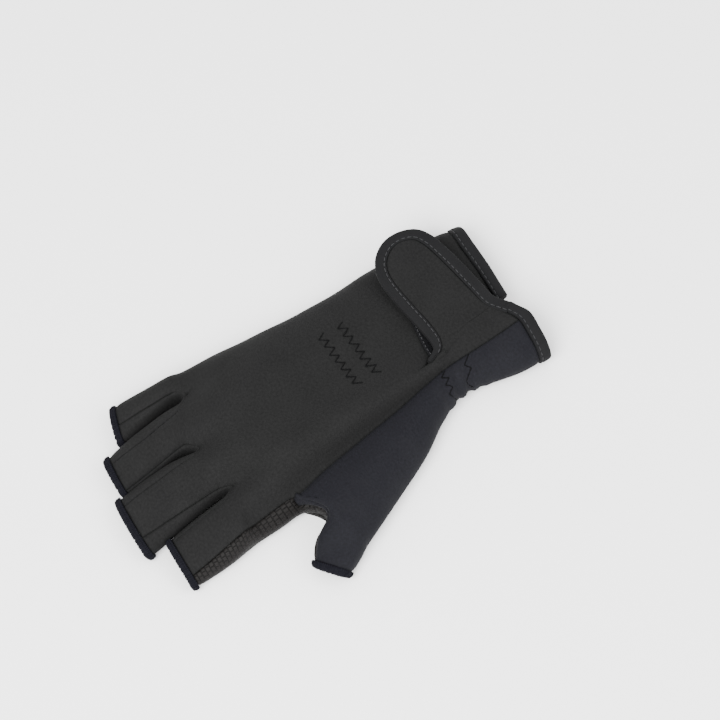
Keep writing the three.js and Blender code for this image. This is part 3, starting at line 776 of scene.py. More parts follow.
class Shading:
    """One material's node tree, with the kinds of node that the glove's finishes share."""

    def __init__(self, name: str) -> None:
        """Starts a material with an empty tree."""
        self.material = bpy.data.materials.new(name)
        self.material.use_nodes = True
        self.tree = self.material.node_tree
        self.tree.nodes.clear()

    def cloth(self) -> bpy.types.NodeSocket:
        """The cloth's own measure in mm."""
        return node(self.tree, "ShaderNodeUVMap", {"uv_map": "cloth"}).outputs["UV"]

    def noise(self, place: bpy.types.NodeSocket, scale: float, detail: float,
              roughness: float = 0.5) -> bpy.types.NodeSocket:
        """A noise's strength at a place."""
        settings = {"Scale": scale, "Detail": detail, "Roughness": roughness}
        return node(self.tree, "ShaderNodeTexNoise", settings, {"Vector": place}).outputs["Fac"]

    def wave(self, place: bpy.types.NodeSocket, direction: str, scale: float,
             distortion: float) -> bpy.types.NodeSocket:
        """Straight bands across a place."""
        settings = {"wave_type": "BANDS", "bands_direction": direction, "Scale": scale,
                    "Distortion": distortion}
        return node(self.tree, "ShaderNodeTexWave", settings, {"Vector": place}).outputs["Fac"]

    def blend(self, first: str, second: str, share: bpy.types.NodeSocket) -> bpy.types.NodeSocket:
        """A colour between two."""
        settings = {"data_type": "RGBA", 6: srgb(first), 7: srgb(second)}
        return node(self.tree, "ShaderNodeMix", settings, {0: share}).outputs[2]

    def times(self, a: bpy.types.NodeSocket, b: bpy.types.NodeSocket) -> bpy.types.NodeSocket:
        """The product of two values."""
        return node(self.tree, "ShaderNodeMath", {"operation": "MULTIPLY"}, {0: a, 1: b}).outputs["Value"]

    def added(self, a: bpy.types.NodeSocket, weight: float, b: bpy.types.NodeSocket) -> bpy.types.NodeSocket:
        """The second value with a share of the first."""
        settings = {"operation": "MULTIPLY_ADD", 1: weight}
        return node(self.tree, "ShaderNodeMath", settings, {0: a, 2: b}).outputs["Value"]

    def bump(self, height: bpy.types.NodeSocket, strength: float, depth_mm: float) -> bpy.types.NodeSocket:
        """A surface roughened by a height."""
        settings = {"Strength": strength, "Distance": depth_mm * MM}
        return node(self.tree, "ShaderNodeBump", settings, {"Height": height}).outputs["Normal"]

    def surface(self, settings: dict, links: dict) -> bpy.types.Material:
        """Ends the tree with its shader and returns the material."""
        shader = node(self.tree, "ShaderNodeBsdfPrincipled", settings, links)
        node(self.tree, "ShaderNodeOutputMaterial", {}, {"Surface": shader.outputs["BSDF"]})
        return self.material


@dataclass(frozen=True)
class Jersey:
    """Knitted jersey, bonded to neoprene or woven as tape: soft and matt, with a faint sheen on its edges.

    The real stitches are finer than stitch_mm, and would vanish at the picture's size.
    """

    name: str
    colour: str
    fleck: str
    stitch_mm: float = 0.62
    fleck_scale: float = 0.8
    wear_scale: float = 0.06
    relief_mm: float = 0.12

    def material(self) -> bpy.types.Material:
        """Builds the material: flecked yarn over fine crossing ribs, unevenly dull."""
        made = Shading(self.name)
        place = made.cloth()
        grain = made.noise(place, self.fleck_scale, 2.0, 0.75)
        bands = 0.32 / self.stitch_mm
        knit = made.times(made.wave(place, "DIAGONAL", bands, 0.6), made.wave(place, "X", bands, 0.4))
        dullness = node(made.tree, "ShaderNodeMapRange",
                        {"From Min": 0.3, "From Max": 0.7, "To Min": 0.78, "To Max": 0.92},
                        {"Value": made.noise(place, self.wear_scale, 3.0)})
        return made.surface(
            {"IOR": 1.48, "Sheen Weight": 0.02, "Sheen Roughness": 0.5, "Sheen Tint": srgb("9c9c9c"),
             "Specular IOR Level": 0.12},
            {"Base Color": made.blend(self.colour, self.fleck, grain),
             "Normal": made.bump(made.added(grain, 0.6, knit), 0.35, self.relief_mm),
             "Roughness": dullness.outputs["Result"]},
        )


@dataclass(frozen=True)
class GripWeave:
    """Rubber-coated basket weave: raised pads with deep gaps, and a dull rubbery shine on the pads.

    The real pads lie closer than pitch_mm, and would blur at the picture's size.
    """

    name: str
    pad: str
    gap: str
    pitch_mm: float = 2.6
    gap_mm: float = 0.42
    row_share: float = 0.9
    relief_mm: float = 0.5

    def material(self) -> bpy.types.Material:
        """Builds the material: staggered pads, grained and dark in the gaps between them."""
        made = Shading(self.name)
        place = made.cloth()
        pads = node(made.tree, "ShaderNodeTexBrick",
                    {"offset": 0.5, "Color1": (1, 1, 1, 1), "Color2": (0.8, 0.8, 0.8, 1),
                     "Mortar": (0, 0, 0, 1), "Scale": 1.0, "Mortar Size": self.gap_mm, "Mortar Smooth": 1.0,
                     "Brick Width": self.pitch_mm, "Row Height": self.pitch_mm * self.row_share},
                    {"Vector": place})
        level = node(made.tree, "ShaderNodeRGBToBW", {}, {"Color": pads.outputs["Color"]}).outputs["Val"]
        grain = made.noise(place, 2.2, 3.0)
        raised = node(made.tree, "ShaderNodeMapRange", {"From Min": 0.0, "From Max": 0.55},
                      {"Value": made.times(level, grain)})
        return made.surface(
            {"IOR": 1.5, "Roughness": 0.66, "Specular IOR Level": 0.16},
            {"Base Color": made.blend(self.gap, self.pad, raised.outputs["Result"]),
             "Normal": made.bump(made.added(grain, 0.25, level), 0.9, self.relief_mm)},
        )


@dataclass(frozen=True)
class SpunThread:
    """Polyester or nylon yarn, twisted and dyed: matt, with fine lighter strands."""

    name: str
    colour: str
    strand: str
    sheen: float = 0.2
    gloss: float = 0.2
    strands_per_metre: float = 2200.0

    def material(self) -> bpy.types.Material:
        """Builds the material: strands in two tones, slightly raised."""
        made = Shading(self.name)
        place = node(made.tree, "ShaderNodeTexCoord").outputs["Object"]
        strands = made.noise(place, self.strands_per_metre, 2.0)
        return made.surface(
            {"Roughness": 0.8, "Sheen Weight": self.sheen, "Sheen Roughness": 0.5,
             "Specular IOR Level": self.gloss},
            {"Base Color": made.blend(self.colour, self.strand, strands),
             "Normal": made.bump(strands, 0.6, 0.1)},
        )


class Finishes:
    """Every material of the glove, made once."""

    def __init__(self) -> None:
        """Builds the materials."""
        self.black = Jersey("neoprene_black_jersey", "040404", "1a1a1a").material()
        self.navy = Jersey("neoprene_navy_jersey", "040406", "17171c").material()
        self.palm = GripWeave("rubber_basket_weave", "0f0d0c", "030202").material()
        self.tape = Jersey("stretch_binding_tape", "0b0b0c", "131314", 0.5).material()
        self.overlock = SpunThread("overlocked_polyester_yarn", "060609", "111118", 0.0, 0.08).material()
        self.thread = SpunThread("sewing_polyester_thread", "050505", "0d0d0e", 0.0, 0.05).material()
        self.seam_light = SpunThread("greyed_polyester_thread", "1a1a1c", "2a2a2c", 0.1).material()
        self.pile = SpunThread("brushed_nylon_pile", "020203", "141416", 0.0, 0.08).material()
        self.hook = SpunThread("moulded_nylon_hook", "101012", "19191b", 0.0).material()

    def of(self, panel: Panel) -> bpy.types.Material:
        """The material of a panel."""
        return {Panel.PALM: self.palm, Panel.THUMB: self.navy}.get(panel, self.black)


def stand_for(made: bpy.types.Object, node_name: str) -> None:
    """Lets a finished piece stand for its solid and move with the glove."""
    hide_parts(node_name)
    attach(made, "root")


def outer_area(points: Points, faces: Sequence[Sequence[int]]) -> float:
    """Area of four-sided faces, in the square of the points' unit."""
    quads = np.array([[points[face[k]] for k in (0, 1, 2, -1)] for face in faces])
    cross = np.cross(quads[:, 2] - quads[:, 0], quads[:, 3] - quads[:, 1])
    return float(np.linalg.norm(cross, axis=1).sum()) / 2


def turned_box(places: Points) -> tuple[float, float]:
    """Width and length of the box round flat places, turned to lie along them."""
    centred = places - places.mean(axis=0)
    _, _, axes = np.linalg.svd(centred, full_matrices=False)
    length, width = np.ptp(centred @ axes.T, axis=0)
    return float(width), float(length)


def strip_size(area: float, edge: float) -> tuple[float, float]:
    """Width and length of the strip that has a given area and length of edge."""
    half = edge / 2
    root = math.sqrt(max(half * half - 4 * area, 0.0))
    return (half - root) / 2, (half + root) / 2


def slab(top: Points, low: Points) -> tuple[Points, Faces, Measures]:
    """A closed piece between two grids of points.

    Args:
        top: the upper face's points, as rows of columns of points.
        low: the lower face's points, in the same order.

    Returns:
        The points, the faces and their cloth measures.
    """
    lines, cells = top.shape[:2]
    points = np.concatenate([top.reshape(-1, 3), low.reshape(-1, 3)])
    size = lines * cells
    outward = np.cross(top[0, -1] - top[0, 0], top[-1, 0] - top[0, 0])[2] > 0
    ring = list(range(cells)) + [r * cells + cells - 1 for r in range(1, lines)]
    ring += [(lines - 1) * cells + c for c in reversed(range(cells - 1))]
    ring += [r * cells for r in reversed(range(1, lines - 1))]
    faces: Faces = [(n, k, k + size, n + size) for k, n in zip(ring, ring[1:] + ring[:1])]
    for r in range(lines - 1):
        for c in range(cells - 1):
            k = r * cells + c
            faces.append((k, k + 1, k + cells + 1, k + cells))
            faces.append((k + size + cells, k + size + cells + 1, k + size + 1, k + size))
    if not outward:
        faces = [face[::-1] for face in faces]
    return points, faces, [tuple((float(points[k][0]), float(points[k][1])) for k in face) for face in faces]


def smooth_fall(distance: Points, reach: float) -> Points:
    """1 at distance 0, falling smoothly to 0 at reach."""
    t = np.clip(1 - distance / reach, 0, 1)
    return t * t * (3 - 2 * t)


@dataclass
class SkinPanels:
    """The glove's sewn skin: every panel, with rolled edges at its seams, puckers and creases."""

    form: GloveForm
    finishes: Finishes
    edge_round: float = 1.0
    edge_dip: float = 0.75
    valley_reach: float = 3.2
    valley_dip: float = 0.35
    crotch_places: tuple[tuple[float, float], ...] = (
        (-17, 23), (10, 24), (37.5, 18.5), (-45, 10), (-46, 24),
    )
    crotch_reach: float = 15.0
    crotch_height: float = 12.0
    soften_rounds: int = 24
    soften_share: float = 0.2
    soften_crotch_share: float = 0.6
    thumb_notch: tuple[float, float] = (-47.5, 24.5)
    thumb_notch_depth: float = 7.5
    thumb_notch_reach: float = 11.0
    slit_clear: float = 1.2
    pucker_pitch: float = 4.1
    pucker_rise: float = 0.42
    pucker_spread: float = 3.4
    pucker_fade: float = 3.0
    stitch_sink: float = 0.25
    stitch_spread: float = 1.6
    bunch_place: tuple[float, float] = (-30.0, -70.0)
    bunch_spread: tuple[float, float] = (9.0, 11.0)
    bunch_pitch: float = 6.4
    bunch_rise: float = 0.9
    bunch_end_x: float = -20.0
    ridge_x: float = -16.5
    ridge_spread: float = 4.2
    ridge_reach: float = 58.0
    ridge_rise: float = 1.0
    sag_rise: float = 0.22

    def build(self) -> list[bpy.types.Object]:
        """Builds one object for each panel."""
        self.skin = SkinBuilder(self.form).build()
        self._soften()
        points = np.array(self.skin.points)
        normals = self.skin.normals()
        gaps = self._seam_distances(points)
        lift = self._relief(points, normals, gaps)
        outer = points + normals * lift[:, None]
        outer[:, 2] = np.maximum(outer[:, 2], 0)
        self.upper = outer[normals[:, 2] > 0.05]
        self.tree = KDTree(len(self.upper))
        for n, p in enumerate(self.upper):
            self.tree.insert(Vector((p[0], p[1], 0)), n)
        self.tree.balance()
        inner = points - normals * SIZE.wall
        return [self._panel_object(panel, outer, inner) for panel in Panel]

    def height_at(self, x: float, y: float) -> float:
        """Height of the sewn surface over a point, from the five nearest points of the skin."""
        found = self.tree.find_n(Vector((x, y, 0)), 5)
        weights = [1 / (d + 1e-3) for _, _, d in found]
        return sum(w * self.upper[n][2] for w, (_, n, _) in zip(weights, found)) / sum(weights)

    def _soften(self) -> None:
        """Rounds the skin's corners, most of all round the crotches, where cloth never folds sharply."""
        points = np.array(self.skin.points)
        away = np.linalg.norm(points[:, :2] - np.array(self.thumb_notch), axis=1)
        notch = smooth_fall(away, self.thumb_notch_reach)
        points[:, 1] -= self.thumb_notch_depth * notch
        pairs = np.array([(a, b) for panel in Panel for face in self.skin.faces[panel]
                          for a, b in zip(face, face[1:] + face[:1])])
        rims = {k for panel in Panel for k in self._open_rim(panel)}
        free = np.ones(len(points))
        free[list(rims)] = 0
        counts = np.bincount(pairs.ravel(), minlength=len(points))
        crotches = np.array([plan_point(x, y, self.crotch_height) for x, y in self.crotch_places])
        gap = np.min(np.linalg.norm(points[:, None, :2] - crotches[None, :, :2], axis=2), axis=1)
        share = free * (self.soften_share + self.soften_crotch_share * smooth_fall(gap, self.crotch_reach))
        for _ in range(self.soften_rounds):
            total = np.zeros_like(points)
            np.add.at(total, pairs[:, 0], points[pairs[:, 1]])
            np.add.at(total, pairs[:, 1], points[pairs[:, 0]])
            points += share[:, None] * (total / np.maximum(counts, 1)[:, None] - points)
            points[:, 2] = np.maximum(points[:, 2], 0)
        self.skin.points = list(points)

    def _open_rim(self, panel: Panel) -> set[int]:
        """Points of a panel's border that no other panel shares: the cuff, the slit and the open ends."""
        others = [other for other in Panel if other is not panel]
        shared = {k for other in others for face in self.skin.faces[other] for k in face}
        return {k for edge in self.skin.borders(panel) for k in edge} - shared

    def _seam_distances(self, points: Points) -> Points:
        """Distance of every point from the nearest seam or open edge, but for the strap's root."""
        root = [self.form.controls_at(row)["slitThumb"] for row in np.linspace(0, 3.6, 60)]
        rims = sorted({k for panel in Panel for edge in self.skin.borders(panel) for k in edge})
        rims = [k for k in rims if min(np.linalg.norm(points[k] - r) for r in root) > self.slit_clear]
        tree = KDTree(len(rims))
        for n, k in enumerate(rims):
            tree.insert(Vector(points[k]), n)
        tree.balance()
        return np.array([tree.find(Vector(p))[2] for p in points])

    def _relief(self, points: Points, normals: Points, gaps: Points) -> Points:
        """How far the outer face stands off the plain form."""
        inside = np.clip(self.edge_round - gaps, 0, self.edge_round)
        rolled = self.edge_round - np.sqrt(np.maximum(self.edge_round**2 - inside**2, 0))
        lift = -self.edge_dip * rolled / self.edge_round
        lift -= self.valley_dip * smooth_fall(gaps, self.valley_reach)
        x, y = points[:, :2].T
        upper = normals[:, 2] > 0.2
        for row in BACK_ROWS:
            (x0, line_y), x1 = row.start, row.end[0]
            across = np.clip((x - x0) / self.pucker_fade, 0, 1) * np.clip((x1 - x) / self.pucker_fade, 0, 1)
            near = np.exp(-(((y - line_y) / self.pucker_spread) ** 2))
            ripple = self.pucker_rise * np.sin(2 * math.pi * x / self.pucker_pitch + 0.6 * np.sin(0.4 * y))
            sunk = self.stitch_sink * np.exp(-(((y - line_y) / self.stitch_spread) ** 2))
            lift += np.where(upper, across * (near * ripple - sunk), 0)
        (bunch_x, bunch_y), (wide, long) = self.bunch_place, self.bunch_spread
        bunch = np.exp(-(((x - bunch_x) / wide) ** 2) - (((y - bunch_y) / long) ** 2))
        folds = np.sin(2 * math.pi * (y + 0.35 * x) / self.bunch_pitch)
        lift += np.where(x < self.bunch_end_x, self.bunch_rise * bunch * folds, 0)
        ridge = np.exp(-(((x - self.ridge_x) / self.ridge_spread) ** 2))
        ridge *= smooth_fall(np.abs(y), self.ridge_reach)
        sag = self.sag_rise * np.sin(0.19 * x + 0.11 * y) * np.sin(0.13 * y - 0.07 * x)
        lift += np.where(upper, self.ridge_rise * ridge + sag, 0)
        return lift

    def _panel_object(self, panel: Panel, outer: Points, inner: Points) -> bpy.types.Object:
        """One panel as a closed wall."""
        faces = self.skin.faces[panel]
        uvs = self.skin.corner_uv[panel]
        used = sorted({k for face in faces for k in face})
        number = {k: n for n, k in enumerate(used)}
        count = len(used)
        points = np.concatenate([outer[used], inner[used]])
        points[:, 2] = np.maximum(points[:, 2], 0)
        made_faces = [tuple(number[k] for k in face) for face in faces]
        made_uv = list(uvs)
        for face, uv in zip(faces, uvs):
            made_faces.append(tuple(number[k] + count for k in reversed(face)))
            made_uv.append(tuple(reversed(uv)))
        for a, b in self.skin.borders(panel):
            made_faces.append((number[b], number[a], number[a] + count, number[b] + count))
            made_uv.append(((0.0, 0.0), (1.0, 0.0), (1.0, 1.0), (0.0, 1.0)))
        made = make_object(panel.value + "_cloth", points, made_faces, made_uv, self.finishes.of(panel))
        stand_for(made, panel.value)
        width, length, area = self._cut(panel, outer)
        LOG.info("panel %s: cut %.3f by %.3f m, %.5f m2", panel.value, width, length, area)
        return made

    def _cut(self, panel: Panel, outer: Points) -> tuple[float, float, float]:
        """The size that a panel is cut to.

        Args:
            panel: the panel.
            outer: the outer side's points in mm.

        Returns:
            Width and length in metres, and area in square metres.
        """
        area = outer_area(outer, self.skin.faces[panel])
        if panel in (Panel.BACK, Panel.PALM):
            width, length = turned_box(np.array([c for uv in self.skin.corner_uv[panel] for c in uv]))
        else:
            edge = sum(float(np.linalg.norm(outer[a] - outer[b])) for a, b in self.skin.borders(panel))
            width, length = strip_size(area, edge)
        return width * MM, length * MM, area * MM * MM


@dataclass
class Band:
    """A closed band with a rounded section that wraps an edge of cloth."""

    rows: list[Points]
    closed: bool
    bulge: float
    piped: int = 0
    groove_place: float = 0.58
    groove_depth: float = 0.42
    rim_place: float = 0.82
    rim_rise: float = 0.12
    groove_spread: float = 0.1
    face_measure: float = 0.8

    def mesh(self) -> tuple[Points, Faces, Measures]:
        """Points, faces and cloth measures of the band."""
        normals = self.normals()
        count = len(self.rows)
        rings = []
        for c in range(len(self.rows[0])):
            column = np.array([row[c] for row in self.rows])
            ups = np.array([normals[r][c] for r in range(count)])
            share = np.linspace(-1, 1, count)
            crown = self.bulge * np.sqrt(np.maximum(1 - np.abs(share) ** 2.6, 0.0))
            if self.piped:
                place = share * self.piped
                groove = np.exp(-(((place - self.groove_place) / self.groove_spread) ** 2))
                rim = np.exp(-(((place - self.rim_place) / self.groove_spread) ** 2))
                crown += self.rim_rise * rim - self.groove_depth * groove
            thick = SIZE.wall / 2 * (1 - 0.25 * np.abs(share) ** 6)
            mid = column - ups * SIZE.wall / 2
            off = ups * (thick + crown)[:, None]
            ring = np.concatenate([mid + off, (mid - off)[::-1]])
            ring[:, 2] = np.maximum(ring[:, 2], 0)
            rings.append(ring)
        size = len(rings[0])
        points = np.concatenate(rings)
        faces: Faces = []
        uv: Measures = []
        total = len(rings)
        reach = row_measure(self.rows[0], 0, 0.0)
        for c in range(total if self.closed else total - 1):
            d = (c + 1) % total
            for k in range(size):
                n = (k + 1) % size
                faces.append((c * size + k, d * size + k, d * size + n, c * size + n))
                u0, u1 = float(reach[c]), float(reach[c] + 1 if d == 0 else reach[d])
                v0, v1 = k * self.face_measure, (k + 1) * self.face_measure
                uv.append(((u0, v0), (u1, v0), (u1, v1), (u0, v1)))
        if not self.closed:
            first = tuple(range(size))
            last = tuple((total - 1) * size + k for k in reversed(range(size)))
            for cap in (first, last):
                faces.append(cap)
                uv.append(tuple((0.0, 0.0) for _ in cap))
        return points, faces, uv

    def normals(self) -> list[Points]:
        """Normals of the grid under the band."""
        grid = np.array(self.rows)
        if self.closed:
            across = np.roll(grid, -1, axis=1) - np.roll(grid, 1, axis=1)
        else:
            across = np.gradient(grid, axis=1)
        up = np.gradient(grid, axis=0)
        return list(unit(np.cross(across, up)))


@dataclass
class Threads:
    """Short lengths of thread laid along or over a surface by geometry nodes."""

    name: str
    radius: float
    material: bpy.types.Material
    middles: list[Points] = field(default_factory=list)
    alongs: list[Points] = field(default_factory=list)

    def add(self, a: Points, b: Points) -> None:
        """Adds one length of thread from a to b."""
        self.middles.append((np.asarray(a) + np.asarray(b)) / 2)
        self.alongs.append(np.asarray(b) - np.asarray(a))

    def add_path(self, path: Points, stitch: float, gap: float) -> None:
        """Adds a row of stitches along a path.

        Args:
            path: points in mm.
            stitch: length of each stitch in mm.
            gap: length of each gap in mm.
        """
        total = row_measure(path, 0, 0.0)
        place = gap / 2
        while place + stitch < total[-1]:
            self.add(point_at(path, total, place), point_at(path, total, place + stitch))
            place += stitch + gap

    def tree(self) -> bpy.types.NodeTree:
        """The geometry nodes that turn each marked point into a rounded length of thread."""
        tree = bpy.data.node_groups.new(self.name + "_nodes", "GeometryNodeTree")
        for name, way, kind in (
            ("Marks", "INPUT", "Geometry"), ("Radius", "INPUT", "Float"), ("Thread", "INPUT", "Material"),
            ("Stitches", "OUTPUT", "Geometry"),
        ):
            tree.interface.new_socket(name, in_out=way, socket_type="NodeSocket" + kind)
        given = node(tree, "NodeGroupInput")
        ball = node(tree, "GeometryNodeMeshUVSphere", {"Segments": 6, "Rings": 5, "Radius": 1.0})
        along = node(tree, "GeometryNodeInputNamedAttribute", {"data_type": "FLOAT_VECTOR", "Name": "along"})
        length = node(tree, "ShaderNodeVectorMath", {"operation": "LENGTH"}, {0: along.outputs["Attribute"]})
        half = node(tree, "ShaderNodeMath", {"operation": "MULTIPLY", 1: 0.56}, {0: length.outputs["Value"]})
        thin = given.outputs["Radius"]
        size = node(tree, "ShaderNodeCombineXYZ", {}, {"X": thin, "Y": thin, "Z": half.outputs["Value"]})
        turn = node(tree, "FunctionNodeAlignRotationToVector", {"axis": "Z"},
                    {"Vector": along.outputs["Attribute"]})
        laid = node(tree, "GeometryNodeInstanceOnPoints", {},
                    {"Points": given.outputs["Marks"], "Instance": ball.outputs["Mesh"],
                     "Rotation": turn.outputs["Rotation"], "Scale": size.outputs["Vector"]})
        real = node(tree, "GeometryNodeRealizeInstances", {}, {"Geometry": laid.outputs["Instances"]})
        shaded = node(tree, "GeometryNodeSetShadeSmooth", {}, {"Geometry": real.outputs["Geometry"]})
        dyed = node(tree, "GeometryNodeSetMaterial", {},
                    {"Geometry": shaded.outputs["Geometry"], "Material": given.outputs["Thread"]})
        node(tree, "NodeGroupOutput", {}, {"Stitches": dyed.outputs["Geometry"]})
        return tree

    def build(self) -> bpy.types.Object:
        """Runs the nodes and returns the stitches as a plain mesh."""
        mesh = bpy.data.meshes.new(self.name + "_marks")
        mesh.from_pydata((np.array(self.middles) * MM).tolist(), [], [])
        layer = mesh.attributes.new("along", "FLOAT_VECTOR", "POINT")
        layer.data.foreach_set("vector", (np.array(self.alongs) * MM).ravel())
        marks = bpy.data.objects.new(self.name + "_marks", mesh)
        bpy.context.scene.collection.objects.link(marks)
        tree = self.tree()
        modifier = marks.modifiers.new("thread", "NODES")
        modifier.node_group = tree
        ids = {item.name: item.identifier for item in tree.interface.items_tree if item.in_out == "INPUT"}
        modifier[ids["Radius"]] = self.radius * MM
        modifier[ids["Thread"]] = self.material
        graph = bpy.context.evaluated_depsgraph_get()
        graph.update()
        made_mesh = bpy.data.meshes.new_from_object(marks.evaluated_get(graph))
        made_mesh.name = self.name
        if not made_mesh.materials:
            made_mesh.materials.append(self.material)
        bpy.data.objects.remove(marks)
        made = bpy.data.objects.new(self.name, made_mesh)
        bpy.context.scene.collection.objects.link(made)
        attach(made, "root")
        LOG.info("stitches %s: %d", self.name, len(self.middles))
        return made


@dataclass(frozen=True)
class Seam:
    """A row of straight stitches in greyed thread."""

    radius: float = 0.24
    stitch: float = 2.1
    gap: float = 0.9
    lift: float = 0.2

    def sew(self, name: str, line: Points, finishes: Finishes) -> None:
        """Lays the row along a line."""
        stitches = Threads(name, self.radius, finishes.seam_light)
        stitches.add_path(line, self.stitch, self.gap)
        stitches.build()


@dataclass
class Hems:
    """The overlocked edges of the five open tubes."""

    form: GloveForm
    finishes: Finishes
    yarn_radius: float = 0.38
    yarn_pitch: float = 0.95
    yarn_lean: float = 0.7
    yarn_lean_scatter: float = 0.25
    yarn_lift_scatter: float = 0.14
    across_cells: int = 8
    seed: int = 7

    def build(self) -> None:
        """Builds the five hems and their yarn."""
        for digit in Digit:
            rows = self._rows(digit)
            name = digit.value + "_hem"
            edge = Band(rows, True, SIZE.hem_bulge).mesh()
            made = make_object(name + "_edge", *edge, self.finishes.overlock)
            stand_for(made, name)
            self._yarn(digit, rows)
            LOG.info("hem %s", name)

    def _rows(self, digit: Digit) -> list[Points]:
        """Loops across the hem, from the panel's end to the open edge."""
        share = SIZE.hem_width / self.form.digit_length(digit)
        places = [np.linspace(0, 1, n + 1) for n in (24, 16, 20, 16)]
        made = []
        for t in 1 - share * (1 - np.linspace(0.02, 1, self.across_cells + 1)):
            loop = joined(self.form.digit_loop(digit, places, float(t)))
            made.append(loop[:-1])
        return made

    def _yarn(self, digit: Digit, rows: list[Points]) -> None:
        """Loops of yarn, each from the panel over the hem and round the open edge."""
        yarn = Threads(digit.value + "_hem_yarn", self.yarn_radius, self.finishes.overlock)
        grid = np.array(rows)
        normals = np.array(Band(rows, True, 0.0).normals())
        ring = np.concatenate([grid, grid[:, :1]], axis=1)
        ups = np.concatenate([normals, normals[:, :1]], axis=1)
        total = row_measure(ring[-1], 0, 0.0)
        count = int(total[-1] / self.yarn_pitch)
        rng = np.random.default_rng(self.seed + len(digit.value))
        for n in range(count):
            s = total[-1] * (n + 0.5) / count
            lean = self.yarn_lean + self.yarn_lean_scatter * rng.standard_normal()
            marks = []
            for r, off in ((0, 0.15), (3, SIZE.hem_bulge + 0.1), (6, SIZE.hem_bulge), (8, 0.0)):
                at = (s + lean * r / self.across_cells) % total[-1]
                lifted = off + self.yarn_lift_scatter * rng.standard_normal()
                marks.append(point_at(ring[r], total, at) + point_at(ups[r], total, at) * lifted)
            marks.append(marks[-1] - point_at(ups[8], total, s) * SIZE.wall * 0.9)
            for a, b in zip(marks, marks[1:]):
                a[2], b[2] = max(a[2], self.yarn_radius), max(b[2], self.yarn_radius)
                yarn.add(a, b)
        yarn.build()


@dataclass
class CuffBinding:
    """The stretch tape round the cuff's edge, with its row of stitches."""

    form: GloveForm
    finishes: Finishes
    strap_start: float = -8.6
    top_share: float = 0.7
    stitched_row: int = 19
    seam: Seam = Seam()

    def build(self) -> None:
        """Builds the tape, the line piped beside it and its stitches."""
        rows = []
        for row in self.form.cuff_band * np.linspace(0, 0.985, 25):
            stretches = self.form.hand_row(float(row))
            rows.append(joined([stretches[name] for name in GloveForm.AROUND]))
        own = ~((rows[0][:, 0] > self.strap_start) & (rows[0][:, 2] > self.top_share * SIZE.palm_height))
        rows = [row[own] for row in rows]
        tape = Band(rows, False, SIZE.binding_bulge, piped=1)
        made = make_object("cuff_binding_tape", *tape.mesh(), self.finishes.tape)
        stand_for(made, "cuff_binding")
        line = rows[self.stitched_row] + tape.normals()[self.stitched_row] * self.seam.lift
        line[:, 2] = np.maximum(line[:, 2], self.seam.radius)
        self.seam.sew("cuff_stitches", line, self.finishes)
        LOG.info("cuff binding")


